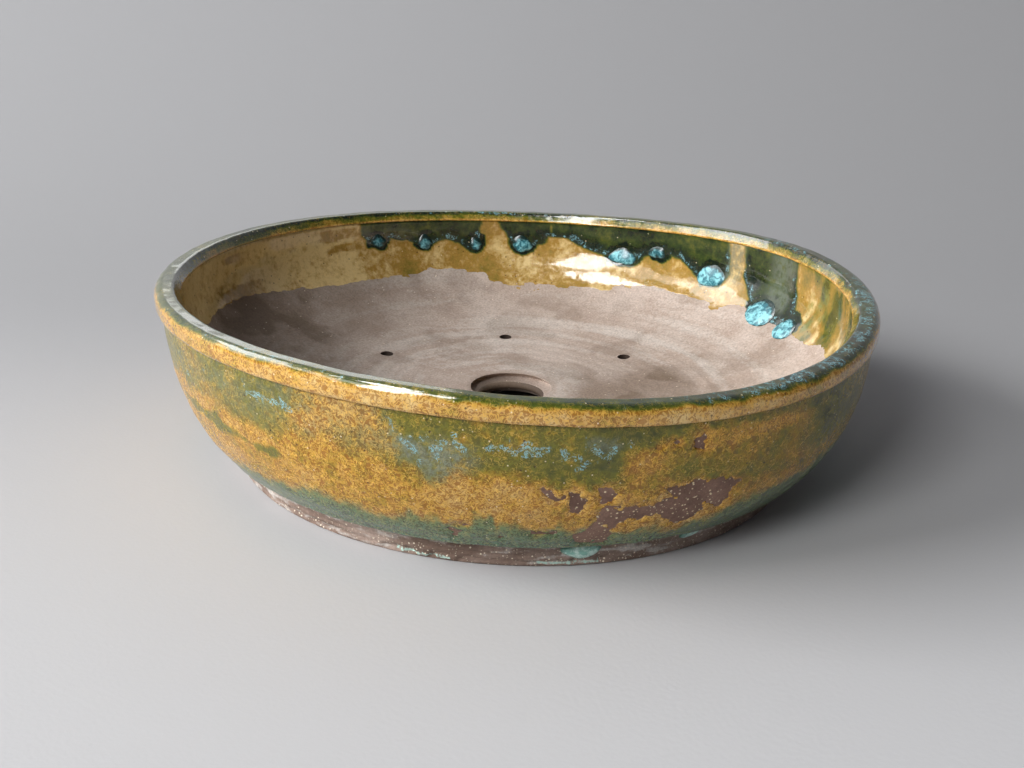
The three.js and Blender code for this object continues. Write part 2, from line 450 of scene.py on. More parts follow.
def lumps(places: Array) -> Array:
    """Smooth random lumps, one unit wide.

    Args:
        places: One row of three numbers per place.

    Returns:
        One value per place, from -1 to 1.
    """
    cell = np.floor(places).astype(np.int64)
    share = places - cell
    share = share**3 * (share * (share * 6 - 15) + 10)
    total = np.zeros(len(places))
    for corner in product((0, 1), repeat=3):
        key = (cell + corner) @ np.array((73856093, 19349663, 83492791))
        key = (key ^ (key >> 13)) * 1274126177
        key = (key ^ (key >> 16)) & 0xFFFF
        near = np.where(corner, share, 1 - share).prod(axis=1)
        total += near * (key / 32767.5 - 1)
    return total


def grain(spots: Array, size: float, octaves: int = 1, seed: float = 0.0) -> Array:
    """Soft noise on places, about -1 to 1.

    Args:
        spots: Places in millimetres.
        size: Width of the noise's lumps in millimetres.
        octaves: Number of ever finer layers.
        seed: Shift that makes one noise differ from another.

    Returns:
        One value per place.
    """
    return sum(0.55**i * lumps(spots / size * 2**i + 17.3 * seed + 5.7 * i) for i in range(octaves))


Points = tuple[tuple[float, float], ...]
# Millimetres per degree round the wall
ARC = math.radians(1.0) * 125.0


def edge_distance(points: Points, closed: bool, thrown: Thrown) -> tuple[Array, Array]:
    """Measures a thrown piece's vertices against a drawn line.

    Args:
        points: The line's corners, as angles in degrees and heights in millimetres.
        closed: Whether the line runs back to its start.
        thrown: The piece.

    Returns:
        Distance from the line in millimetres, and whether the vertex is inside it.
    """
    start = points[0][0]
    x = ((thrown.degrees - start + 180) % 360 - 180) * ARC
    y = thrown.height
    corners = [(((angle - start + 180) % 360 - 180) * ARC, height) for angle, height in points]
    near = np.full(len(x), 1e3)
    inside = np.zeros(len(x), bool)
    for (x0, y0), (x1, y1) in zip(corners, corners[1:] + corners[:1] if closed else corners[1:]):
        along = (x - x0) * (x1 - x0) + (y - y0) * (y1 - y0)
        share = np.clip(along / math.dist((x0, y0), (x1, y1)) ** 2, 0, 1)
        near = np.minimum(near, np.hypot(x - x0 - share * (x1 - x0), y - y0 - share * (y1 - y0)))
        if y0 != y1:
            inside ^= ((y0 > y) != (y1 > y)) & (x < x0 + (x1 - x0) * (y - y0) / (y1 - y0))
    return near, inside


@dataclass(frozen=True)
class Patch:
    """A drawn patch of glaze, or of bare clay, on a turned face."""

    points: Points
    amount: float = 1.0
    soft: float = 1.0

    def depth(self, thrown: Thrown) -> Array:
        """Distance inside the patch's edge in millimetres, below 0 outside it."""
        near, inside = edge_distance(self.points, True, thrown)
        return np.where(inside, near, -near)

    def cover(self, thrown: Thrown, wander: Array) -> Array:
        """How much the patch covers each vertex, with its edge moved by a wander in millimetres."""
        return self.amount * smooth(-self.soft, self.soft, self.depth(thrown) + wander)


@dataclass(frozen=True)
class Stroke:
    """A thin run of crystals along a drawn line."""

    points: Points
    amount: float = 1.0
    soft: float = 1.7

    def cover(self, thrown: Thrown, wander: Array) -> Array:
        """How much the stroke covers each vertex, with its edge moved by a wander in millimetres."""
        near, _ = edge_distance(self.points, False, thrown)
        return self.amount * smooth(self.soft, 0.0, near + 0.5 * wander)


def gather(shapes: Sequence[Patch | Stroke], thrown: Thrown, wander: Array) -> Array:
    """Adds up what drawn shapes cover on a thrown piece."""
    return sum(shape.cover(thrown, wander) for shape in shapes)


def linear(hex_colour: str) -> tuple[float, float, float, float]:
    """Turns an sRGB hex colour to linear light.

    Args:
        hex_colour: Six hex digits after a hash sign.

    Returns:
        Red, green, blue and an alpha of 1.
    """
    parts = [int(hex_colour[i : i + 2], 16) / 255 for i in (1, 3, 5)]
    return (*(p / 12.92 if p <= 0.04045 else ((p + 0.055) / 1.055) ** 2.4 for p in parts), 1.0)


# Settings that many nodes share: a soft step, a colour laid over another, and two kinds of product
EASE = {"interpolation_type": "SMOOTHSTEP"}
LAY = {"data_type": "RGBA", "out": 2}
TIMES = {"operation": "MULTIPLY"}
TIMES_PLUS = {"operation": "MULTIPLY_ADD"}


class Mixing:
    """A material in the making: its nodes, its shader and the place that its patterns hang on."""

    def __init__(self, name: str, **constants: float) -> None:
        """Starts a material whose shader holds the given constants.

        Args:
            name: The material's name.
            **constants: Values for the shader's inputs, with spaces as underscores.
        """
        self.material = bpy.data.materials.new(name)
        self.material.use_nodes = True
        self.tree = self.material.node_tree
        self.shader = self.tree.nodes["Principled BSDF"]
        for key, value in constants.items():
            self.shader.inputs[key.replace("_", " ")].default_value = value
        self.place = self.add("TexCoord", out="Object")

    def add(
        self, kind: str, *values: object, out: int | str = 0, **settings: object
    ) -> bpy.types.NodeSocket:
        """Adds a node with its settings and links.

        Args:
            kind: The node's type, without its prefix.
            *values: Values or sockets for the inputs in order, or one dict of them by name or number.
            out: The output to hand back.
            **settings: The node's own settings.

        Returns:
            The chosen output.
        """
        made = self.tree.nodes.new("ShaderNode" + kind)
        for key, value in settings.items():
            setattr(made, key, value)
        given = values[0] if values and isinstance(values[0], dict) else dict(enumerate(values))
        for key, value in given.items():
            if isinstance(value, bpy.types.NodeSocket):
                self.tree.links.new(value, made.inputs[key])
            else:
                made.inputs[key].default_value = value
        return made.outputs[out]

    def sized(self, size: float, **more: float) -> dict:
        """Inputs of a pattern whose lumps have a size in millimetres."""
        return {"Vector": self.place, "Scale": 1 / (size * MM)} | more

    def scatter(self, spacing: float, width: float, share: float) -> bpy.types.NodeSocket:
        """Scattered round dots.

        Args:
            spacing: Distance between the dots' cells in millimetres.
            width: Width of a dot in millimetres.
            share: Share of the cells that hold a dot.

        Returns:
            A mask that is 1 on the dots.
        """
        cells = self.add("TexVoronoi", self.sized(spacing), out="Distance")
        dot = self.add("MapRange", cells, 0.6 * width / spacing, 0.35 * width / spacing, **EASE)
        pick = self.add("SeparateColor", cells.node.outputs["Color"])
        picked = self.add("Math", pick, share, operation="LESS_THAN")
        return self.add("Math", dot, picked, **TIMES)

    def finish(self, colour: object, rough: object, height: object, depth: float) -> bpy.types.Material:
        """Links colour, roughness and relief to the shader.

        Args:
            colour: The surface's colour.
            rough: Its roughness.
            height: Relief from 0 to 1.
            depth: Height of the relief in millimetres.

        Returns:
            The finished material.
        """
        relief = self.add("Bump", {"Height": height, "Distance": depth * MM, "Strength": 1.0})
        self.tree.links.new(colour, self.shader.inputs["Base Color"])
        self.tree.links.new(rough, self.shader.inputs["Roughness"])
        self.tree.links.new(relief, self.shader.inputs["Normal"])
        return self.material


@dataclass(frozen=True)
class CrystalGlaze:
    """Poured ash glaze, fired glossy: amber where thin, green to teal where thick, with needle crystals."""

    name: str
    tones: tuple[str, ...] = ("#d2ae68", "#c8983a", "#9f8220", "#716e16", "#555816", "#222d14")
    rust: str = "#94622a"
    shallow: str = "#86884c"
    teal: str = "#5e7e56"
    deep: str = "#42735f"
    crystal: str = "#8abfca"
    # Grey of smoky clouds, and of painted sheen
    smoke_and_sheen: str = "#80897a"
    needle: str = "#e8b54a"
    # Cream of the specks, which are painted glints of the gloss
    glint_speck: str = "#f6e6bd"
    pit: str = "#33200f"
    ground: str = "#b08a4a"
    relief: float = 1.0
    coat: float = 0.1
    needle_share: float = 0.75
    glint_speck_share: float = 0.4
    gloss: float = 0.22

    @cache
    def material(self) -> bpy.types.Material:
        """Builds the glaze's material.

        Returns:
            The material, the same one each time.
        """
        m = Mixing(self.name, IOR=1.5, Coat_Weight=self.coat, Coat_Roughness=0.06)
        # Colour wanders from tan and amber to green with the coat's thickness
        green = m.add("Attribute", attribute_name=Mark.GREEN.value, out="Fac")
        broad = m.add("TexNoise", m.sized(7.0, Detail=4.0, Roughness=0.6))
        mottle = m.add("TexNoise", m.sized(2.2, Detail=3.0, Roughness=0.65))
        thick = m.add("Math", broad, 0.55, green, **TIMES_PLUS)
        thick = m.add("Math", mottle, 0.5, thick, **TIMES_PLUS)
        thick = m.add("Math", thick, 0.525, operation="SUBTRACT")
        colour = m.add("ValToRGB", thick)
        stops = colour.node.color_ramp.elements
        for i, (at, tone) in enumerate(zip((0.0, 0.2, 0.38, 0.58, 0.78, 1.0), self.tones)):
            stop = stops[i] if i < 2 else stops.new(at)
            stop.position = at
            stop.color = linear(tone)
        thin = m.add("MapRange", green, 0.55, 0.2)
        rust = m.add("TexNoise", m.sized(2.6, Detail=3.0, Roughness=0.65))
        rust = m.add("MapRange", rust, 0.54, 0.7, 0.0, 0.3, **EASE)
        rust = m.add("Math", rust, thin, **TIMES)
        colour = m.add("Mix", {0: rust, 6: colour, 7: linear(self.rust)}, **LAY)
        # Smooth grey clouds in the green, a grey veil round the crystals, and painted sheen: pale grey
        # where the glaze would catch the light
        drawn = m.add("Attribute", attribute_name=Mark.CRYSTAL.value, out="Fac")
        smoke_and_sheen = m.add("Attribute", attribute_name=Mark.SMOKE.value, out="Fac")
        smoke_and_sheen = m.add("Math", drawn, 0.2, smoke_and_sheen, **TIMES_PLUS)
        uneven = m.add("MapRange", mottle, 0.3, 0.62, 0.25, 0.85, **EASE)
        smoke_and_sheen = m.add("Math", smoke_and_sheen, uneven, **TIMES)
        colour = m.add("Mix", {0: smoke_and_sheen, 6: colour, 7: linear(self.smoke_and_sheen)}, **LAY)
        # Teal where the coat has run together above the foot
        run = m.add("Attribute", attribute_name=Mark.TEAL.value, out="Fac")
        eddies = m.add("TexNoise", m.sized(5.0, Detail=5.0, Roughness=0.65))
        run = m.add("Math", eddies, 0.9, run, **TIMES_PLUS)
        pooled = m.add("MapRange", run, 0.66, 1.06, 0.0, 0.92, **EASE)
        share = m.add("MapRange", run, 0.75, 1.15)
        water = m.add("Mix", {0: share, 6: linear(self.shallow), 7: linear(self.teal)}, **LAY)
        share = m.add("MapRange", run, 1.1, 1.5)
        water = m.add("Mix", {0: share, 6: water, 7: linear(self.deep)}, **LAY)
        colour = m.add("Mix", {0: pooled, 6: colour, 7: water}, **LAY)
        clear = m.add("Math", pooled, smoke_and_sheen, operation="MAXIMUM")
        clear = m.add("MapRange", clear, 1.0, 0.0, 0.25, 1.0)
        clear = m.add("Math", clear, m.add("MapRange", green, 0.3, 0.7, 1.0, 0.22), **TIMES)
        # Needle crystals: pale worms with dark glaze between them
        worm = m.add("TexNoise", m.sized(1.5, Detail=1.5, Roughness=0.5, Distortion=1.2))
        worm = m.add("Math", m.add("Math", worm, 0.5, operation="SUBTRACT"), operation="ABSOLUTE")
        dark = m.add("MapRange", worm, 0.05, 0.12, 0.0, self.needle_share, **EASE)
        dark = m.add("Math", dark, m.add("MapRange", green, 0.3, 0.7, 1.0, 0.4), **TIMES)
        colour = m.add("Mix", {0: dark, 6: colour, 7: linear(self.ground)}, **LAY, blend_type="MULTIPLY")
        broken = m.add("MapRange", m.add("TexNoise", m.sized(2.0, Detail=1.0)), 0.36, 0.56, **EASE)
        needle = m.add("MapRange", worm, 0.05, 0.012, **EASE)
        needle = m.add("Math", needle, broken, **TIMES)
        needle = m.add("Math", needle, clear, **TIMES)
        share = m.add("Math", needle, self.needle_share, **TIMES)
        colour = m.add("Mix", {0: share, 6: colour, 7: linear(self.needle)}, **LAY)
        # Pale blue crystals that follow the drawn runs
        blue = m.add("TexNoise", m.sized(1.9, Detail=2.5, Roughness=0.6, Distortion=1.6))
        blue = m.add("Math", m.add("Math", blue, 0.5, operation="SUBTRACT"), operation="ABSOLUTE")
        blue = m.add("MapRange", blue, 0.06, 0.015, **EASE)
        where = m.add("TexNoise", m.sized(2.6, Detail=2.0))
        where = m.add("Math", where, drawn, operation="ADD")
        where = m.add("MapRange", where, 0.88, 1.08, 0.0, 0.85, **EASE)
        blue = m.add("Math", blue, where, **TIMES)
        colour = m.add("Mix", {0: blue, 6: colour, 7: linear(self.crystal)}, **LAY)
        # Dark pits of burst bubbles, and cream specks that are painted glints of the gloss
        glint_speck = m.scatter(2.1, 0.5, self.glint_speck_share)
        pit = m.scatter(3.3, 0.7, 0.5)
        for dots, strength, tone in ((pit, 0.75, self.pit), (glint_speck, 0.8, self.glint_speck)):
            share = m.add("Math", dots, strength, **TIMES)
            colour = m.add("Mix", {0: share, 6: colour, 7: linear(tone)}, **LAY)
        height = m.add("Math", needle, 0.5, mottle, **TIMES_PLUS)
        height = m.add("Math", pit, -0.8, height, **TIMES_PLUS)
        height = m.add("Math", glint_speck, 0.5, height, **TIMES_PLUS)
        grown = m.add("Math", needle, blue, operation="ADD")
        rough = m.add("Math", grown, 0.12, self.gloss, **TIMES_PLUS)
        return m.finish(colour, rough, height, 0.16 * self.relief)


@dataclass(frozen=True)
class FiredClay:
    """Unglazed stoneware: matt and grainy, with pale and dark grit, a chalky bloom, stains of glaze, soil
    stains and painted shade.
    """

    name: str
    body: str
    stain: str
    pale: str
    grit: str = "#f3e6cf"
    dark: str = "#43342b"
    residue: str = "#bcd6ca"
    # Brown of soil stains, and of painted shade
    damp_and_shade: str = "#7d6a59"
    grit_share: float = 0.35
    grit_width: float = 0.5

    @cache
    def material(self) -> bpy.types.Material:
        """Builds the clay's material.

        Returns:
            The material, the same one each time.
        """
        m = Mixing(self.name, IOR=1.5, Specular_IOR_Level=0.3)
        fine = m.add("TexNoise", m.sized(0.9, Detail=3.0, Roughness=0.7))
        cloud = m.add("TexNoise", m.sized(26.0, Detail=5.0, Roughness=0.62))
        cloud = m.add("MapRange", cloud, 0.36, 0.66, **EASE)
        colour = m.add("Mix", {0: cloud, 6: linear(self.stain), 7: linear(self.body)}, **LAY)
        chalk = m.add("Attribute", attribute_name=Mark.BLOOM.value, out="Fac")
        dust = m.add("TexNoise", m.sized(2.2, Detail=4.0, Roughness=0.7))
        chalk = m.add("Math", dust, 0.9, chalk, **TIMES_PLUS)
        chalk = m.add("MapRange", chalk, 0.7, 1.15, 0.0, 0.85, **EASE)
        colour = m.add("Mix", {0: chalk, 6: colour, 7: linear(self.pale)}, **LAY)
        # Soil stains and painted shade, painted on the vertices, darken the clay here
        damp_and_shade = m.add("Attribute", attribute_name=Mark.DAMP_AND_SHADE.value, out="Fac")
        damp_and_shade = m.add("Math", damp_and_shade, m.add("MapRange", cloud, 0.0, 1.0, 1.15, 0.75), **TIMES)
        colour = m.add("Mix", {0: damp_and_shade, 6: colour, 7: linear(self.damp_and_shade)}, **LAY)
        pores = m.add("MapRange", fine, 0.4, 0.75, 0.0, 0.45)
        colour = m.add("Mix", {0: pores, 6: colour, 7: linear(self.dark)}, **LAY)
        left = m.add("Attribute", attribute_name=Mark.RESIDUE.value, out="Fac")
        crusts = m.add("TexNoise", m.sized(1.8, Detail=3.0, Roughness=0.65))
        left = m.add("Math", crusts, 1.3, left, **TIMES_PLUS)
        left = m.add("MapRange", left, 1.14, 1.32, **EASE)
        colour = m.add("Mix", {0: left, 6: colour, 7: linear(self.residue)}, **LAY)
        coarse = m.scatter(1.4, self.grit_width, self.grit_share)
        small = m.scatter(0.95, 0.6 * self.grit_width, 0.6 * self.grit_share)
        grit = m.add("Math", small, 0.8, coarse, use_clamp=True, **TIMES_PLUS)
        share = m.add("Math", grit, 0.9, **TIMES)
        colour = m.add("Mix", {0: share, 6: colour, 7: linear(self.grit)}, **LAY)
        height = m.add("Math", grit, 0.6, fine, **TIMES_PLUS)
        rough = m.add("MapRange", left, 0.0, 1.0, 0.8, 0.3)
        return m.finish(colour, rough, height, 0.14)


@dataclass(frozen=True)
class PooledGlaze:
    """Thick pooled glaze: turquoise, with pale crystal clouds and a dark edge, very glossy."""

    name: str
    body: str = "#2c6b78"
    pale: str = "#86c9d2"
    deep: str = "#182f2c"

    @cache
    def material(self) -> bpy.types.Material:
        """Builds the pooled glaze's material.

        Returns:
            The material, the same one each time.
        """
        m = Mixing(self.name, IOR=1.5, Coat_Weight=0.15, Coat_Roughness=0.1)
        cloud = m.add("TexNoise", m.sized(2.4, Detail=4.0, Roughness=0.65, Distortion=0.6))
        share = m.add("MapRange", cloud, 0.4, 0.6, **EASE)
        colour = m.add("Mix", {0: share, 6: linear(self.body), 7: linear(self.pale)}, **LAY)
        rim = m.add("Attribute", attribute_name=Mark.TEAL.value, out="Fac")
        rim = m.add("Math", m.add("TexNoise", m.sized(2.0, Detail=3.0)), 0.8, rim, **TIMES_PLUS)
        rim = m.add("MapRange", rim, 1.18, 0.78, **EASE)
        colour = m.add("Mix", {0: rim, 6: colour, 7: linear(self.deep)}, **LAY)
        rough = m.add("MapRange", cloud, 0.3, 0.7, 0.22, 0.34)
        return m.finish(colour, rough, cloud, 0.05)


Finish = CrystalGlaze | FiredClay | PooledGlaze
ROUGH_TURNS = Turning(360)
FINE_TURNS = Turning(720)
FRONT_FINE_TURNS = Turning(720, -80.0, 66.0, 0.4)
# How far one clay piece laps over the next, and how far the lap stands proud, in millimetres
FEATHER = 3.0
LAP_LIFT = 0.06
# Where the faces inside the drain end, out from the drain's radius; inside it they take the dark finish of
# soil and painted shade
SOIL_AND_SHADE_MARGIN = 0.9


@dataclass
class PotGroup:
    """A sub-assembly of the pot: what shapes it, and the pieces made so far."""

    sizes: PotSizes
    form: HandmadeForm
    profile: Profile
    pieces: list[bpy.types.Object] = field(default_factory=list)

    def dress(self, piece: bpy.types.Object, finish: Finish, node: str, slot: str) -> None:
        """Gives a piece its finish and lets it stand for its solid.

        Args:
            piece: The piece.
            finish: Its clay or glaze.
            node: The solid that it replaces.
            slot: The record's material slot; not used.
        """
        piece.data.materials.append(finish.material())
        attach(piece, BODY)
        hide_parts(node)
        self.pieces.append(piece)


@dataclass
class ClayBody(PotGroup):
    """Foot, floor, heel, wall and rim: the fired clay that carries the glaze."""

    # Trimmed foot: dull brown, chalky in places with a pale bloom that is partly painted sheen, thick with
    # pale grit
    foot: FiredClay = FiredClay(
        "trimmed_stoneware_foot", "#ab978b", "#7d685c", "#d6d0c9", grit_share=0.7, grit_width=0.6
    )
    # Bare inside: smooth warm grey, almost without grit
    inside: FiredClay = FiredClay("bare_stoneware_floor", "#cab9ad", "#b6a294", "#d4c8be", grit_share=0.06)
    # Clay that the glaze leaves open: red-brown, sown with cream grit
    patch: FiredClay = FiredClay(
        "bare_stoneware_patch",
        "#9a7a6b",
        "#6b5146",
        "#a58f80",
        grit="#f2e2bf",
        grit_share=0.5,
        grit_width=0.7,
    )
    # Walls of the holes: dark brown with soil, and painted shade of the holes' depth
    soiled_and_shaded: FiredClay = FiredClay("soiled_and_shaded_stoneware_hole", "#40342c", "#2e251f", "#5c4e44", grit_share=0.05)

    def build(self) -> None:
        """Builds all the clay pieces."""
        self.build_foot()
        self.build_floor()
        self.build_walls()
        self.build_rim()

    def build_foot(self) -> None:
        """Trimmed foot ring with tool lines and a rough lower edge."""
        s = self.sizes
        inner = s.foot_radius - s.foot_width
        corners = [
            (inner + s.foot_edge, 0.0),
            (s.foot_radius - s.foot_edge, 0.0),
            *arc((s.foot_radius - s.foot_edge, s.foot_edge), s.foot_edge, -90, 0),
            (s.foot_radius + s.foot_taper, s.foot_height),
            (inner, s.foot_height),
            (inner, s.foot_edge),
            (inner + s.foot_edge, 0.0),
        ]
        thrown = throw("foot_ring", evenly(corners, spacing=0.5)[:-1], FINE_TURNS)
        spots = thrown.spots()
        side = smooth(0.2, 1.2, thrown.height) * (thrown.radius > s.foot_radius - 1)
        lines = 0.16 * np.sin(thrown.height * 2.4 + 2.0 * grain(spots, 30.0)) * side
        rough = 0.3 * grain(spots * (1, 1, 1.6), 2.4, 3) * side
        low = smooth(4.5, 1.0, thrown.height)
        bite = -1.1 * smooth(0.2, 0.55, grain(spots, 6.0, 2, 4.0)) * low * side
        # Pale bloom, partly painted sheen, with painted shade: less bloom on the right side
        painted_shade = smooth(-45.0, -25.0, thrown.degrees) * smooth(90.0, 60.0, thrown.degrees)
        bloom = 0.26 + 0.5 * grain(spots * (1, 1, 6.0), 9.0, 3, 7.0) - 0.3 * painted_shade
        thrown.paint(Mark.BLOOM, side * bloom)
        # Crusts of glaze along the bottom: two stretches at the front, loose ones elsewhere
        turn = thrown.degrees
        crust = smooth(-84.0, -78.0, turn) * smooth(-66.0, -71.0, turn)
        crust += smooth(-58.0, -54.0, turn) * smooth(-40.0, -45.0, turn)
        loose = smooth(0.25, 0.6, grain(spots * (1, 1, 0), 40.0, 2, 6.0))
        crust += 0.7 * loose * (np.abs(turn + 60.0) > 40.0)
        thrown.paint(Mark.RESIDUE, 0.68 * crust * smooth(3.6, 1.2, thrown.height) * side)
        thrown.settle(self.form, lines + rough + bite)
        self.dress(thrown.piece, self.foot, "foot_ring", "foot_clay")

    def rings(self, thrown: Thrown) -> Array:
        """Relief of the throwing rings inside.

        Args:
            thrown: The piece.

        Returns:
            Distance off the profile for each vertex, in millimetres.
        """
        spots = thrown.spots()
        wander = 2.4 * grain(spots, 60.0, 1, 2.0)
        spiral = thrown.radius + wander + thrown.angle * 0.55
        worn = 0.5 + 0.5 * grain(spots, 45.0, 2, 5.0)
        ridges = 0.06 * np.sin(spiral * 2 * math.pi / 6.2) + 0.03 * np.sin(spiral * 2 * math.pi / 2.7)
        steps = 0.1 * np.exp(-(((thrown.radius + wander - 42.0) / 3.5) ** 2))
        return (ridges + steps) * worn * smooth(18.0, 30.0, thrown.radius) + 0.05 * grain(spots, 2.4, 3)

    def build_floor(self) -> None:
        """Floor with throwing rings, the bevelled drain and drilled wire holes."""
        s = self.sizes
        bowl = self.profile.bowl(spacing=0.8)
        top = bowl[bowl[:, 0] <= s.floor_radius + FEATHER]
        bevel = s.drain_radius + s.drain_bevel
        # Radius of the bevel's worn upper edge
        worn = 4.0
        under = s.floor_top - s.floor_thickness
        recess = s.foot_radius - s.foot_width
        corners = [
            (s.floor_radius, s.underside),
            (s.floor_radius, top[0, 1] - 2.0),
            *top,
            (bevel + 2.2, s.floor_top),
            *arc((bevel - 1.6, s.floor_top - worn), worn, 80, 25),
            (s.drain_radius + 0.7, s.floor_top - s.drain_bevel_depth + 0.3),
            (s.drain_radius, s.floor_top - s.drain_bevel_depth - 0.6),
            (s.drain_radius, under + s.drain_underbevel),
            (s.drain_radius + s.drain_underbevel, under),
            (recess - s.recess_slope, under),
            (recess, s.underside),
            (s.floor_radius, s.underside),
        ]
        thrown = throw("floor_disc", evenly(corners, spacing=0.8)[:-1], ROUGH_TURNS)
        upper = thrown.height > s.floor_top - 0.2
        self.weather(thrown, upper)
        thrown.settle(self.form, np.where(upper, 0.05 + self.rings(thrown), 0.0))
        self.dress(thrown.piece, self.inside, "floor_disc", "bare_clay")
        self.drill(thrown.piece)
        # The drain's own wall takes the dark finish, soil and painted shade, that the drill has brought
        faces = thrown.piece.data.polygons
        finish = np.empty(len(faces), np.int32)
        faces.foreach_get("material_index", finish)
        middles = triples(faces, "center") / MM
        finish[np.hypot(middles[:, 0], middles[:, 1]) < s.drain_radius + SOIL_AND_SHADE_MARGIN] = 1
        faces.foreach_set("material_index", finish)

    def weather(self, thrown: Thrown, inner: Array) -> None:
        """Paints the bare inside: a chalky bloom in rings, soil stains, and painted shade on the left under
        the wall and on the drain's left side.

        Args:
            thrown: The piece.
            inner: Whether each vertex is on the inside.
        """
        spots = thrown.spots()
        turned = np.column_stack((thrown.radius * 1.6, thrown.angle * 9.0, spots[:, 0] * 0))
        streak = grain(turned, 8.0, 3, 3.0)
        cloud = grain(spots, 30.0, 2, 4.0)
        dull = smooth(71.0, 62.0, thrown.radius + 5.0 * cloud) * smooth(16.0, 30.0, thrown.radius)
        dull *= smooth(-50.0, -5.0, thrown.degrees) * smooth(90.0, 35.0, thrown.degrees + 12.0 * cloud)
        # Painted shade: darker towards the left of the inside, where the wall shades it
        painted_shade = smooth(20.0, 105.0, -thrown.radius * np.cos(thrown.angle - math.radians(25.0)) + 8.0 * cloud)
        # Painted shade: the drain's bevel and hole darker, most on the left
        drain = 0.55 + 0.4 * np.cos(thrown.angle - math.radians(190.0))
        drain = smooth(18.0, 12.0, thrown.radius) * drain
        smudge = 0.3 * smooth(0.05, 0.55, grain(spots * (1, 1, 0), 17.0, 3, 11.0))
        bloom = 0.4 + 0.3 * streak + 0.15 * cloud - 0.4 * dull
        thrown.paint(Mark.BLOOM, np.where(inner, bloom, 0.1 + 0.3 * cloud))
        thrown.paint(Mark.DAMP_AND_SHADE, inner * (0.62 * painted_shade + 0.55 * dull + smudge) + drain)
        thrown.paint(Mark.RESIDUE, np.zeros(len(spots)))

    def drill(self, floor: bpy.types.Object) -> None:
        """Drills the pairs of wire holes through the floor.

        Args:
            floor: The floor, dressed, so that the holes' own finish comes second.
        """
        s = self.sizes
        drills = []
        for angle in (a + turn for a in s.wire_hole_angles for turn in (0.0, 180.0)):
            spot = np.array([[math.radians(angle)], [s.wire_hole_circle], [s.floor_top]])
            at = self.form.place(*spot)[0]
            bpy.ops.object.select_all(action="DESELECT")
            bpy.ops.mesh.primitive_cylinder_add(
                vertices=32, radius=s.wire_hole_radius * MM, depth=2 * s.floor_top * MM, location=at
            )
            drills.append(bpy.context.object)
        for drill in drills:
            drill.select_set(True)
        bpy.ops.object.join()
        cutter = bpy.context.object
        # The holes' walls take the dark clay: soil and painted shade
        cutter.data.materials.append(self.soiled_and_shaded.material())
        bpy.ops.object.transform_apply(location=True, rotation=True, scale=True)
        select_only(floor)
        cut = floor.modifiers.new("wire_holes", "BOOLEAN")
        cut.object = cutter
        cut.operation = "DIFFERENCE"
        cut.material_mode = "TRANSFER"
        bpy.ops.object.modifier_apply(modifier=cut.name)
        bpy.data.objects.remove(cutter)

    def build_walls(self) -> None:
        """Heel and wall: rough outside under the glaze, thrown inside."""
        s = self.sizes
        outside = shifted(self.profile.wall(spacing=0.7), -s.glaze)
        inside = self.profile.bowl(spacing=0.8)
        low_out = outside[outside[:, 1] < s.heel_height]
        high_out = outside[outside[:, 1] >= s.heel_height]
        low_in = inside[(inside[:, 1] < s.heel_height + FEATHER) & (inside[:, 0] > s.floor_radius)]
        high_in = inside[inside[:, 1] >= s.heel_height]
        bottom = [(s.floor_radius, s.underside), (low_out[0, 0] - 0.5, s.underside)]
        joint = [tuple(high_out[0]), tuple(high_in[-1] + (1.5, 0.0))]
        seat = (s.floor_radius, float(np.interp(s.floor_radius, inside[::-1, 0], inside[::-1, 1])))
        self.build_wall("wall_heel", [*bottom, *low_out, *joint, *low_in, seat, bottom[0]])
        high = high_in[high_in[:, 1] <= s.wall_head]
        over = outside[outside[:, 1] >= s.heel_height - FEATHER]
        self.build_wall("wall_shell", [joint[1], (over[0, 0] - 1.5, s.heel_height), *over, *high, joint[1]])

    def build_wall(self, name: str, corners: list[tuple[float, float]]) -> None:
        """Turns one storey of the wall.

        Args:
            name: Heel or shell, as the solid is called.
            corners: Radius and height of its profile, in millimetres.
        """
        thrown = throw(name, evenly(corners, spacing=0.8)[:-1], ROUGH_TURNS)
        spots = thrown.spots()
        inner = thrown.radius < self.profile.bowl_radius_at(thrown.height) + 0.5
        outer = ~inner & (thrown.height > self.sizes.underside + 0.5)
        self.weather(thrown, inner)
        offset = np.where(inner, self.rings(thrown), np.where(outer, 0.12 * grain(spots, 2.0, 3), 0.0))
        near_joint = np.abs(thrown.height - self.sizes.heel_height) < FEATHER + 1
        lapped = (inner if name == "wall_heel" else outer) & near_joint
        thrown.settle(self.form, offset + LAP_LIFT * lapped)
        thrown.piece.data.materials.append(self.inside.material())
        self.dress(thrown.piece, self.patch, name, "wall_clay")
        middles = triples(thrown.piece.data.polygons, "center") / MM
        out = np.hypot(middles[:, 0], middles[:, 1] / self.form.oval_ratio)
        shell = out > self.profile.bowl_radius_at(middles[:, 2] + 1.5) + 0.5
        thrown.piece.data.polygons.foreach_set("material_index", shell.astype(np.int32))

    def build_rim(self) -> None:
        """Rim collar, wholly under its glaze."""
        s = self.sizes
        lip = shifted(self.profile.lip(spacing=0.6), -s.glaze)
        corners = [*lip, (s.bowl_radius, s.ridge[1] - 0.4), (s.bowl_radius, s.collar_foot), tuple(lip[0])]
        thrown = throw("rim_ring", evenly(corners, spacing=0.7)[:-1], ROUGH_TURNS)
        for mark in (Mark.BLOOM, Mark.RESIDUE):
            thrown.paint(mark, np.zeros(len(thrown.angle)))
        thrown.settle(self.form)
        self.dress(thrown.piece, self.patch, "rim_ring", "wall_clay")


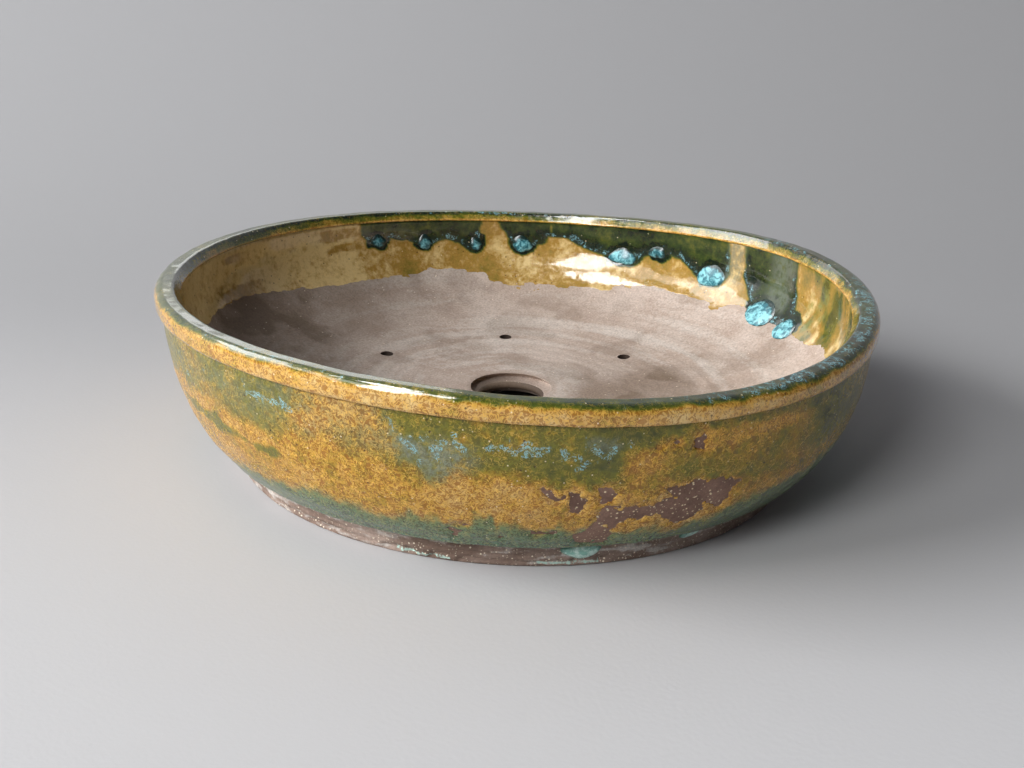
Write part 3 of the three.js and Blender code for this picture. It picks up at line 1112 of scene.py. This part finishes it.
@dataclass(frozen=True)
class Drop:
    """A pooled drop of glaze: the solid that it stands for, its place and its size in millimetres."""

    node: str
    angle: float
    height: float
    width: float
    length: float
    thickness: float
    pale: float = 1.0

    def near(self, thrown: Thrown) -> Array:
        """Dark glaze that gathers round the drop.

        Args:
            thrown: The coat that the drop lies on.

        Returns:
            1 beside the drop and 0 farther off, for each vertex.
        """
        across = ARC * (thrown.degrees - self.angle) / (0.5 * self.width + 1.2)
        up = (thrown.height - self.height - 0.6) / (0.5 * self.length + 1.2)
        return smooth(1.25, 0.95, np.hypot(across, up) + 0.2 * grain(thrown.spots(), 4.0, 2, 3.0))


DROPS = (
    Drop("glaze_bead_1", 151.5, 51.5, 8.5, 6.5, 1.6, 0.6),
    Drop("glaze_bead_2", 140.5, 50.5, 8.0, 7.0, 1.6, 0.6),
    Drop("glaze_bead_3", 129.0, 49.0, 6.5, 7.0, 1.5, 0.6),
    Drop("glaze_bead_4", 118.5, 49.5, 10.0, 8.0, 1.7, 0.72),
    Drop("glaze_bead_5", 95.5, 47.3, 14.0, 8.0, 1.9),
    Drop("glaze_bead_6", 87.5, 50.5, 9.0, 6.0, 1.4, 0.62),
    Drop("glaze_bead_7", 73.5, 45.5, 14.0, 9.0, 2.0),
    Drop("glaze_bead_8", 56.5, 38.6, 17.0, 8.5, 2.4),
    Drop("glaze_bead_9", 47.0, 37.4, 12.0, 7.5, 2.0),
)
RUNS = (
    Drop("foot_run_1", -47.5, 6.2, 14.5, 6.2, 1.5),
    Drop("foot_run_2", -27.0, 6.4, 9.0, 3.0, 0.7),
)


@dataclass
class GlazeCoats(PotGroup):
    """The poured coats on the wall, the rim and the inside."""

    # Wall: satin amber and olive, broken up by fine needles
    outer: CrystalGlaze = CrystalGlaze("crystal_ash_glaze_wall")
    # Rim: wet-looking green on top, golden where it thins over the edges
    rim: CrystalGlaze = CrystalGlaze(
        "crystal_ash_glaze_rim",
        tones=("#dfbe7c", "#d4a44e", "#a88c34", "#60671c", "#3a4a1a", "#1a2819"),
        needle_share=0.7,
        gloss=0.1,
        relief=0.5,
        coat=0.6,
    )
    # Inside: smooth and glossy, tan to bottle green, with few needles
    inner: CrystalGlaze = CrystalGlaze(
        "crystal_ash_glaze_inside",
        tones=("#dcc288", "#a5823f", "#8c7634", "#5c5f26", "#364422", "#131f17"),
        needle_share=0.12,
        glint_speck_share=0.08,
        gloss=0.08,
        relief=0.15,
        coat=0.3,
    )

    # Bare clay that the outer coat leaves open: the long patch, its islands and small chips
    BARE = (
        Patch((
            (-51, 16), (-48.5, 23.5), (-47, 29), (-44.5, 28.5), (-40.5, 28.5), (-39.5, 31), (-37.5, 31),
            (-38.5, 34.5), (-34.5, 36.5), (-33, 34.5), (-31.5, 35.5), (-29, 34.5), (-27, 33),
            (-27.5, 30), (-28.5, 25), (-29.5, 24), (-32, 27.5), (-32.5, 26.5), (-32, 23.5), (-33, 19.5),
            (-35, 19), (-38.5, 22.5), (-39.5, 26), (-42, 22.5), (-44, 24), (-45.5, 19.5), (-46.5, 20.5),
            (-45, 16), (-45.2, 10), (-48, 14), (-49, 13),
        )),
        Patch((
            (-56, 35.5), (-55, 35.5), (-54, 33.5), (-53.5, 35.5), (-52.8, 33), (-53.5, 31.5),
            (-55.5, 33.5),
        )),
        Patch((
            (-52.5, 35.5), (-52, 36.7), (-51, 33.5), (-50, 32.5), (-51, 27.3), (-52.2, 27.5), (-53, 32),
        )),
        Patch(((-49, 36.7), (-46.8, 35.5), (-46.8, 33), (-47.6, 31.8), (-48.5, 33.5))),
        Patch(((-69.5, 17.5), (-68.5, 19.5), (-67.3, 17), (-68, 14.6), (-68.6, 16.8))),
        Patch(((-67.5, 20.2), (-66, 21), (-65.9, 20.2), (-66.8, 19.8))),
        Patch(((-62.1, 16.5), (-61.5, 17.2), (-60.9, 16), (-61.5, 15))),
        Patch(((-57.5, 19), (-56, 19.6), (-54, 18.5), (-55, 17.4), (-56.5, 17.6))),
        Patch(((-36, 51.5), (-35, 52.5), (-34.4, 51.2), (-35, 48.4), (-36.1, 49.2))),
        Patch(((-41, 50.2), (-39.5, 51.5), (-38.5, 51.3), (-38.6, 50.4), (-40, 50.3))),
    )
    # Green over amber: the dark middle, the left, the tan gap between them, streaks, and the right side
    GREENS = (
        Patch((
            (-77, 60), (-75.5, 51), (-74, 47), (-72.5, 40), (-70.5, 37), (-68.5, 38.5), (-64, 39.5),
            (-58.5, 38.5), (-55.5, 39.3), (-49, 38.5), (-47, 40.5), (-45.5, 45), (-44.5, 50), (-41, 53),
            (-36, 55), (-36, 60),
        ), 0.44, 3.4),
        Patch((
            (-142, 60), (-91, 60), (-90, 49), (-88.5, 43), (-97, 41), (-112, 41.5), (-142, 44),
        ), 0.35, 3.5),
        Patch((
            (-91, 60), (-77, 60), (-75.5, 51), (-74, 43), (-79, 42.5), (-85, 43.5), (-89, 43),
            (-90.5, 49),
        ), 0.1, 3.0),
        Patch((
            (-128, 37), (-110, 36.5), (-98.5, 34.5), (-94, 33.2), (-95.5, 31.5), (-112, 33), (-128, 34),
        ), 0.36, 1.2),
        Patch((
            (-43, 41), (-37, 44), (-28, 48), (-10, 53), (0, 45), (-14, 33), (-25, 34), (-31, 37),
            (-38, 36.5),
        ), 0.16, 2.5),
        Patch(((-36, 60), (-5, 60), (-5, 54), (-22, 54), (-34, 55.5)), 0.28, 1.5),
        Patch(((-14, 60), (40, 60), (40, 20), (0, 22), (-14, 33)), 0.28, 6.0),
    )
    # Smooth grey clouds in the green
    SMOKES = (
        Patch((
            (-75, 50.5), (-71, 48), (-68, 50.5), (-64.5, 48), (-64.5, 44), (-66, 40), (-68.5, 38),
            (-70.5, 37.2), (-72, 40), (-73, 44),
        ), 0.9, 4.5),
        Patch((
            (-150, 58), (-92, 58), (-90, 49), (-88, 44), (-97, 42), (-112, 42), (-150, 45),
        ), 0.32, 6.0),
        Patch((
            (-91, 58), (-77, 58), (-75.5, 51), (-74, 44), (-79, 43), (-85, 44), (-89, 43.5),
        ), 0.4, 4.0),
        Patch(((-50, 53.5), (-47, 54), (-46, 51), (-48, 49.5), (-50, 51)), 0.5, 1.5),
    )
    # Runs of pale blue crystals, and the fields where loose ones grow
    CRYSTALS = (
        Stroke(((-75.6, 54.5), (-75.2, 52), (-74.4, 49), (-73.3, 47.5), (-72.8, 46))),
        Stroke(((-72.1, 45.3), (-71.8, 43), (-71.9, 40), (-71.5, 39))),
        Stroke(((-70.2, 47), (-69.5, 48.5), (-68.2, 49.5))),
        Stroke(((-67.2, 51.8), (-66.9, 49.5), (-66.2, 48)), 1.3, 1.4),
        Stroke(((-69.7, 44.5), (-69.2, 43))),
        Stroke(((-63, 49), (-62, 49.5), (-61, 49), (-60, 48.4)), 1.1),
        Stroke(((-58.6, 49.9), (-58.2, 51.8))),
        Stroke(((-58.4, 47.7), (-57.2, 49), (-56, 49.3))),
        Stroke(((-53.5, 49.3), (-53.2, 47.3), (-51.8, 47.4))),
        Stroke(((-49.6, 51), (-49, 48.7), (-47.8, 47.4), (-47.6, 50))),
        Stroke(((-52, 43), (-51.2, 44), (-50.6, 45.6))),
        Stroke(((-45.4, 51.8), (-45.1, 51.2)), 1.2),
        Stroke(((-98.5, 50.5), (-95, 51.5))),
        Stroke(((-93.5, 50.5), (-91.5, 51.5), (-90.5, 50)), 1.2, 1.4),
        Stroke(((-116, 46), (-114.5, 44.5), (-115, 42))),
        Patch(((-76, 56), (-64, 56), (-52, 57), (-44, 55), (-46, 43), (-58, 44), (-72, 42)), 0.62, 4.0),
        Patch(((-128, 56), (-84, 57), (-88, 46), (-128, 44)), 0.66, 5.0),
    )
    # Upper edge of the teal above the foot: angle round the pot and height
    TEAL_EDGE = (
        (-150, 21), (-125, 19), (-110, 19.5), (-98, 22), (-94, 22), (-90, 25.5), (-87, 24.5),
        (-83, 22.5), (-79, 21.5), (-76, 24), (-71.5, 22.5), (-68, 24.5), (-66, 21), (-65, 26),
        (-62.7, 26.5), (-62, 21), (-60, 23), (-58.5, 25.5), (-56.5, 20.5), (-53.5, 24), (-51.5, 22.5),
        (-48.5, 25), (-45, 18), (-41, 20), (-37.5, 19.5), (-34, 17), (-31, 20.5), (-28, 23),
        (-24, 25.5), (-19, 27), (-5, 31), (25, 33), (60, 27), (100, 23), (150, 26),
    )
    # How thickly blue crystals lie on the rim: angle round the pot and share
    RIM_CRYSTALS = (
        (-150, 0.2), (-120, 0.25), (-100, 0.75), (-80, 0.6), (-66, 0.2), (-52, 0.4), (-38, 0.7),
        (-10, 0.95), (20, 1.0), (45, 0.5), (60, 0.9), (78, 0.3), (100, 0.4), (125, 0.8), (160, 0.3),
    )
    # Lower edge of the inner coat
    INNER_EDGE = (
        (-150, 40.5), (-166, 41.5), (-179, 38.5), (175.5, 37.5), (163.5, 35.3), (154, 35), (146, 35.5),
        (138, 38.5), (133.5, 37), (128.5, 35), (123.5, 32.5), (118.5, 31), (111, 31), (104, 32.3),
        (91.5, 33.5), (86.5, 36.8), (79, 36), (72.5, 35), (69, 33), (65.5, 36.5), (61, 36.5),
        (53, 35.5), (45, 35.5), (39.5, 36), (32.5, 38.5), (0, 38), (-60, 36.5), (-110, 38.5),
    )
    # Green curtain under the lip inside
    CURTAINS = (
        Patch((
            (156, 64), (155, 55), (154, 50.5), (152, 49), (150.5, 49), (148.5, 52), (144.5, 51),
            (142, 47.5), (140, 46.5), (138, 49), (136, 51.5), (133, 49.5), (131, 46), (129, 45.5),
            (128, 46.5), (127.3, 64),
        )),
        Patch((
            (124.5, 64), (123.5, 57), (122, 53), (120.5, 48), (118.5, 46.5), (116.5, 47.5), (113, 50.5),
            (111, 64),
        )),
        Patch((
            (112, 64), (112, 53), (108, 53), (104.5, 48.5), (99, 46), (96.5, 44), (91.5, 46.5),
            (88, 49), (86, 50.5), (82, 49), (79.5, 46), (77, 43.5), (75, 41.5), (71.5, 41.5),
            (70, 43.5), (69.7, 48), (70, 64),
        )),
        Patch((
            (66.5, 64), (65.5, 48), (63, 42.5), (61, 39), (59.5, 35.7), (55, 35), (52.5, 36),
            (46.5, 35), (44.5, 37), (46, 41), (48.5, 45.5), (50, 51.5), (50, 64),
        )),
    )

    def build(self) -> None:
        """Builds all the coats."""
        self.build_outer()
        self.build_rim()
        self.build_inner()

    def edge(self, knots: Points, thrown: Thrown) -> Array:
        """What a drawn edge holds at each vertex's angle."""
        return np.interp(thrown.degrees % 360, *zip(*sorted((a % 360, h) for a, h in knots)), period=360)

    def build_outer(self) -> None:
        """Coat on the wall, with its bare patches and the roll above the foot."""
        line = self.profile.wall(spacing=0.5)
        back = shifted(self.profile.wall(spacing=4.0), distance=-1.6)[::-1]
        thrown = throw("outer_glaze", np.vstack((line, back)), FRONT_FINE_TURNS)
        spots = thrown.spots()
        front = thrown.step < len(line)
        height = thrown.height
        rear = smooth(-10.0, 20.0, thrown.degrees) + smooth(-135.0, -150.0, thrown.degrees)
        wander = 1.8 * grain(spots, 7.0, 3, 2.0)
        ragged = 0.9 * grain(spots, 4.0, 2, 5.0) + 0.8 * grain(spots, 1.5, 2, 8.0)
        bare = np.maximum.reduce([patch.depth(thrown) for patch in self.BARE]) + ragged - 0.25
        thin = 0.48 * smooth(-3.0, -0.2, bare)
        wobble = 0.14 * grain(spots, 7.0, 2) + 0.05 * grain(spots, 2.0, 1, 3.0)
        roll = 0.4 * np.exp(-(((height - 10.9) / 1.3) ** 2))
        hem = 0.8 + 1.0 * grain(spots * (1, 1, 0), 9.0, 2, 9.0)
        short = smooth(0.0, 0.7, self.sizes.underside + hem - height)
        open_clay = np.maximum(smooth(-0.25, 0.25, bare), short)
        thrown.settle(self.form, np.where(front, wobble + roll - thin - 1.0 * open_clay, 0.0))
        cloudy = grain(spots * (1, 1, 2.0), 28.0, 3, 6.0)
        upper = smooth(34.0, 42.0, height + 4.0 * grain(spots, 22.0, 2, 1.0))
        green = 0.22 + 0.12 * cloudy + 0.1 * grain(spots, 9.0, 2, 3.0) + gather(self.GREENS, thrown, wander)
        green += rear * (0.3 * upper + 0.3 * cloudy * upper) - 0.16 * smooth(-2.0, -0.4, bare)
        thrown.paint(Mark.GREEN, green)
        above = height - self.edge(self.TEAL_EDGE, thrown) + 2.2 * grain(spots * (1, 1, 0.5), 6.0, 3, 8.0)
        west = smooth(-80.0, -100.0, thrown.degrees)
        teal = 0.58 * smooth(5.0, -5.0, above) + (0.4 + 0.25 * west) * smooth(-1.0, -11.0, above)
        thrown.paint(Mark.TEAL, teal)
        flecks = rear * upper * 0.42 * smooth(0.0, 0.6, grain(spots, 14.0, 2, 3.0))
        thrown.paint(Mark.CRYSTAL, 0.44 * np.minimum(gather(self.CRYSTALS, thrown, ragged), 1.3) + flecks)
        thrown.paint(Mark.SMOKE, gather(self.SMOKES, thrown, wander))
        self.dress(thrown.piece, self.outer, "outer_glaze", "outer_glaze")

    def build_rim(self) -> None:
        """Coat on the rim: amber on the collar's face and edges, green with blue crystals on top, and a
        painted grey reflection on the top's left part.
        """
        s = self.sizes
        line = self.profile.lip(spacing=0.35)
        back = shifted(self.profile.lip(spacing=2.0), distance=-1.4)[::-1]
        thrown = throw("rim_glaze", np.vstack((line, back)), FINE_TURNS)
        spots = thrown.spots()
        front = thrown.step < len(line)
        level = thrown.height + 0.5 * grain(spots, 5.0, 2, 6.0)
        top = smooth(s.rim_height - 2.0, s.rim_height - 0.3, level)
        inside = smooth(s.lip_inner + 1.2, s.lip_inner + 0.2, thrown.radius)
        ridge = np.exp(-(((thrown.height - s.ridge[1] - 0.3) / 0.5) ** 2)) * inside
        wobble = 0.1 * grain(spots, 9.0, 2) + 0.03 * grain(spots, 2.5, 1, 3.0)
        cloudy = grain(spots, 16.0, 3, 2.0)
        east = smooth(-60.0, -20.0, thrown.degrees) * smooth(80.0, 50.0, thrown.degrees)
        green = 0.19 + (0.54 + 0.16 * east) * top + 0.36 * inside - 0.33 * ridge + 0.16 * cloudy
        thrown.paint(Mark.GREEN, green)
        thrown.paint(Mark.TEAL, 0.1 * top)
        crystals = self.edge(self.RIM_CRYSTALS, thrown) * top
        thrown.paint(Mark.CRYSTAL, crystals * (0.52 + 0.14 * grain(spots, 4.0, 2, 4.0)))
        # Painted reflection: pale grey on the left part of the rim's top
        thrown.paint(Mark.SMOKE, 0.3 * top * smooth(-88.0, -105.0, thrown.degrees))
        thrown.settle(self.form, np.where(front, wobble, 0.0))
        self.dress(thrown.piece, self.rim, "rim_glaze", "rim_glaze")

    def build_inner(self) -> None:
        """Coat inside: a green curtain that runs into amber and stops at a wandering edge."""
        full = self.profile.bowl(spacing=0.5)
        line = full[full[:, 1] > 28.5]
        back = shifted(evenly(line, spacing=4.0), distance=-1.2)[::-1]
        thrown = throw("inner_glaze", np.vstack((line, back)), FINE_TURNS)
        spots = thrown.spots()
        front = thrown.step < len(line)
        height = thrown.height
        turn = thrown.degrees % 360
        edge = self.edge(self.INNER_EDGE, thrown) + 0.9 * grain(spots * (1, 1, 0), 5.0, 3, 2.0)
        coat = 0.5 * smooth(-0.6, 0.6, height - edge) + 0.5 * smooth(0.0, 8.0, height - edge)
        depth = np.maximum.reduce([patch.depth(thrown) for patch in self.CURTAINS])
        depth += 0.7 * grain(spots, 4.0, 2, 7.0)
        veil = smooth(-0.7, 0.9, depth)
        fringe = veil * smooth(7.0, 1.0, depth) * smooth(58.0, 54.0, height)
        halo = np.maximum.reduce([drop.near(thrown) for drop in DROPS])
        mottle = grain(spots * (1, 1, 0.4), 12.0, 3, 5.0)
        right = smooth(50.0, 42.0, turn) + smooth(290.0, 320.0, turn)
        left = smooth(154.0, 160.0, turn) * smooth(300.0, 260.0, turn)
        streaks = smooth(0.1, 0.5, grain(spots * (1, 1, 5.0), 34.0, 3, 9.0)) * left
        green = 0.2 + 0.62 * veil + 0.25 * fringe + 0.12 * mottle + right * (0.2 + 0.5 * mottle)
        # Painted light: less green on the shaded left of the inside, so it shows paler tan
        thrown.paint(Mark.GREEN, np.maximum(green, 1.1 * halo) + 0.24 * streaks - 0.3 * left)
        thrown.paint(Mark.TEAL, 0.35 * right * smooth(0.2, 0.6, grain(spots * (1, 1, 0.4), 10.0, 2, 1.0)))
        thrown.paint(Mark.CRYSTAL, 0.46 * fringe)
        # Painted sheen: pale grey on the curtain between 50 and 60 degrees round the pot
        painted_sheen = 0.55 * smooth(50.0, 52.0, turn) * smooth(60.0, 56.0, turn)
        painted_sheen = painted_sheen * smooth(38.0, 42.0, height) * veil
        gap = 0.75 * smooth(65.0, 67.0, turn) * smooth(71.0, 69.5, turn) * smooth(42.0, 46.0, height)
        thrown.paint(Mark.SMOKE, painted_sheen + gap)
        thick = 0.2 * fringe + 0.08 * grain(spots, 10.0, 2)
        thrown.settle(self.form, np.where(front, -0.4 + (0.9 + thick) * coat, 0.0))
        self.dress(thrown.piece, self.inner, "inner_glaze", "inner_glaze")


@dataclass
class PooledDrops(PotGroup):
    """Beads at the ends of the inner runs, and runs that hang over the foot."""

    # Thick beads: deep turquoise glass with pale clouds
    bead: PooledGlaze = PooledGlaze("pooled_turquoise_glaze")
    # Thin runs: milky pale green
    run: PooledGlaze = PooledGlaze("pale_run_glaze", "#8cc0b2", "#cfeae0", "#557f70")
    # Distance of a drop's back from the clay, in millimetres
    bead_clear: float = 0.1
    run_clear: float = -0.2

    def build(self) -> None:
        """Builds every drop."""
        for drop in DROPS:
            piece = self.lay(drop, -1, self.profile.bowl_radius_at, self.bead_clear)
            self.dress(piece, self.bead, drop.node, "pooled_glaze")
        for drop in RUNS:
            piece = self.lay(drop, 1, self.foot_radius_at, self.run_clear)
            self.dress(piece, self.run, drop.node, "pooled_glaze")

    def foot_radius_at(self, height: Array) -> Array:
        """Radius of the foot's face at given heights."""
        s = self.sizes
        return s.foot_radius + s.foot_taper * height / s.foot_height

    def lay(
        self, drop: Drop, side: int, radius_at: Callable[[Array], Array], clear: float
    ) -> bpy.types.Object:
        """Shapes a ball into a drop that lies on a face.

        Args:
            drop: Its place and size.
            side: 1 where the face looks outwards and -1 where it looks in.
            radius_at: Gives the face's radius at heights.
            clear: Distance of the drop's back from the clay.

        Returns:
            The drop.
        """
        bpy.ops.object.select_all(action="DESELECT")
        bpy.ops.mesh.primitive_uv_sphere_add(segments=64, ring_count=40, radius=1.0)
        piece = bpy.context.object
        piece.name = piece.data.name = drop.node
        ball = triples(piece.data.vertices, "co")
        across, dome, up = ball[:, 0], -ball[:, 1], ball[:, 2]
        # A lumpy ball, broader at its hanging end, domed in front and shallow behind
        lump = 1 + 0.22 * grain(np.column_stack((across, up, across * 0)) * 2 + drop.angle, 1.9, 1)
        narrow = 1 + 0.22 * side * np.clip(up, -1, 1)
        span = drop.width / 2 / radius_at(np.array([drop.height]))[0]
        angle = math.radians(drop.angle) + side * across * span * lump * narrow
        height = drop.height + up * drop.length / 2 * lump
        domed = np.where(dome > 0, np.abs(dome) ** 1.3, 0.35 * dome)
        off = clear + drop.thickness * domed * (1 - 0.25 * up)
        radius = radius_at(height) + side * off
        piece.data.vertices.foreach_set("co", self.form.place(angle, radius, height).ravel())
        paint(piece, Mark.TEAL, drop.pale * np.clip(dome * 1.1 - 0.3 * up, 0, 1))
        piece.data.update()
        bpy.ops.object.mode_set(mode="EDIT")
        bpy.ops.mesh.select_all(action="SELECT")
        bpy.ops.mesh.normals_make_consistent(inside=False)
        bpy.ops.object.mode_set(mode="OBJECT")
        bpy.ops.object.shade_smooth()
        return piece


class Shows(Enum):
    """What a lamp lights: only matt colour, or only the glaze's shine."""

    MATT = "matt"
    SHINE = "shine"


@dataclass(frozen=True)
class Lamp:
    """A soft studio lamp, or a card that only shows in the glaze's shine, in metres and watts."""

    name: str
    place: tuple[float, float, float]
    width: float
    height: float
    watts: float
    shows: Shows


@dataclass
class Studio:
    """Pale floor and sweep, soft lamps and the camera, turned to face the pot's front."""

    camera_distance: float = 0.4086
    camera_height: float = 0.1746
    camera_pitch: float = 20.509
    camera_yaw: float = 0.064
    camera_roll: float = -1.592
    focal_pixels: float = 1150.0
    image_width: float = 1024.0
    turn: float = 31.03
    floor_width: float = 8.0
    floor_length: float = 7.0
    floor_front: float = -4.0
    sweep_start: float = 0.14
    sweep_radius: float = 0.45
    floor_colour: str = "#cbcbcd"
    backdrop_colour: str = "#a6a6a8"
    sky_colour: str = "#d6d8dc"
    sky_strength: float = 0.08
    lamps: tuple[Lamp, ...] = (
        Lamp("window_left", (-2.8, -0.4, 1.45), 2.3, 1.2, 132.0, Shows.MATT),
        Lamp("window_front", (-1.0, -1.44, 1.15), 0.74, 0.74, 23.0, Shows.MATT),
        Lamp("pane_left", (-2.65, 0.55, 1.5), 1.7, 1.2, 18.0, Shows.SHINE),
        Lamp("pane_front", (-0.5, -0.54, 0.79), 0.27, 0.8, 11.5, Shows.SHINE),
        Lamp("pane_top", (-0.39, -0.01, 1.08), 0.38, 0.22, 5.6, Shows.SHINE),
        Lamp("card_rim", (-0.82, 0.46, 0.89), 0.95, 0.42, 8.5, Shows.SHINE),
        Lamp("card_left", (-0.8, -0.28, 0.98), 0.75, 0.36, 3.0, Shows.SHINE),
        Lamp("card_back", (-0.16, 0.47, 0.27), 0.26, 0.14, 0.16, Shows.SHINE),
    )

    def facing(self) -> Matrix:
        """Turn from the camera's side to the pot's own axes."""
        return Matrix.Rotation(math.radians(self.turn), 4, "Z")

    def build(self) -> None:
        """Builds the floor, the light and the camera."""
        self.build_floor()
        self.build_light()
        self.build_camera()

    def build_floor(self) -> None:
        """A plain floor that sweeps up behind the pot."""
        bpy.ops.object.select_all(action="DESELECT")
        bpy.ops.mesh.primitive_grid_add(x_subdivisions=2, y_subdivisions=220, size=1.0)
        floor = bpy.context.object
        floor.name = floor.data.name = "studio_floor"
        rows = triples(floor.data.vertices, "co")
        run = (rows[:, 1] + 0.5) * self.floor_length + self.floor_front
        bend = np.clip((run - self.sweep_start) / self.sweep_radius, 0, None)
        turned = np.minimum(bend, math.pi / 2)
        y = np.where(run < self.sweep_start, run, self.sweep_start + self.sweep_radius * np.sin(turned))
        z = self.sweep_radius * (1 - np.cos(turned) + np.clip(bend - math.pi / 2, 0, None))
        placed = np.column_stack((rows[:, 0] * self.floor_width, y, z))
        placed = placed @ np.array(self.facing().to_3x3()).T
        floor.data.vertices.foreach_set("co", placed.ravel())
        # Painted shade: the paper darkens towards the back, where less light falls
        paint(floor, Mark.DEPTH, smooth(-0.2, 0.25, y))
        floor.data.update()
        bpy.ops.object.shade_smooth()
        floor.data.materials.append(self.paper())

    def paper(self) -> bpy.types.Material:
        """Matt grey paper, darker behind the pot: painted shade for the light's falloff towards the back.

        Returns:
            The material.
        """
        m = Mixing("studio_paper", Specular_IOR_Level=0.1)
        depth = m.add("Attribute", attribute_name=Mark.DEPTH.value, out="Fac")
        near, far = linear(self.floor_colour), linear(self.backdrop_colour)
        colour = m.add("Mix", {0: depth, 6: near, 7: far}, **LAY)
        tooth = m.add("TexNoise", m.sized(1.5, Detail=3.0))
        return m.finish(colour, m.add("MapRange", tooth, 0.0, 1.0, 0.85, 0.95), tooth, 0.05)

    def build_light(self) -> None:
        """A pale sky and soft lamps that face the pot."""
        world = bpy.data.worlds.new("studio_sky")
        world.use_nodes = True
        sky = world.node_tree.nodes["Background"]
        sky.inputs["Color"].default_value = linear(self.sky_colour)
        sky.inputs["Strength"].default_value = self.sky_strength
        bpy.context.scene.world = world
        for lamp in self.lamps:
            light = bpy.data.lights.new(lamp.name, "AREA")
            light.shape = "RECTANGLE"
            light.size = lamp.width
            light.size_y = lamp.height
            light.energy = lamp.watts
            stand = bpy.data.objects.new(lamp.name, light)
            bpy.context.scene.collection.objects.link(stand)
            place = Matrix.Translation(lamp.place)
            aim = place.translation.to_track_quat("Z", "Y").to_matrix().to_4x4()
            stand.matrix_world = self.facing() @ place @ aim
            stand.visible_diffuse = lamp.shows is not Shows.SHINE
            stand.visible_glossy = lamp.shows is not Shows.MATT

    def build_camera(self) -> None:
        """A camera at the photograph's angle."""
        angles = (self.camera_pitch, self.camera_yaw, self.camera_roll)
        pitch, yaw, roll = (math.radians(angle) for angle in angles)
        flat = math.cos(pitch)
        ahead = np.array((math.sin(yaw) * flat, math.cos(yaw) * flat, -math.sin(pitch)))
        right = np.array((math.cos(yaw), -math.sin(yaw), 0.0))
        down = np.cross(ahead, right)
        level, drop = math.cos(roll), math.sin(roll)
        right, down = level * right + drop * down, level * down - drop * right
        axes = Matrix(np.column_stack((right, -down, -ahead)).tolist()).to_4x4()
        lens = bpy.data.cameras.new("photo_camera")
        lens.sensor_width = 36.0
        lens.lens = self.focal_pixels / self.image_width * lens.sensor_width
        camera = bpy.data.objects.new("photo_camera", lens)
        bpy.context.scene.collection.objects.link(camera)
        stand = Matrix.Translation((0.0, -self.camera_distance, self.camera_height))
        camera.matrix_world = self.facing() @ stand @ axes
        bpy.context.scene.camera = camera


def main() -> None:
    """Builds the pot and its studio, and reports each piece."""
    logging.basicConfig(level=logging.INFO, format="%(message)s")
    sizes = PotSizes()
    form = HandmadeForm(sizes)
    profile = Profile(sizes)
    for kind in (ClayBody, GlazeCoats, PooledDrops):
        group = kind(sizes, form, profile)
        group.build()
        for piece in group.pieces:
            LOG.info("%s: %s, %d faces", kind.__name__, piece.name, len(piece.data.polygons))
    Studio().build()
    bpy.context.scene.view_settings.view_transform = "Standard"


if __name__ == "__main__":
    main()
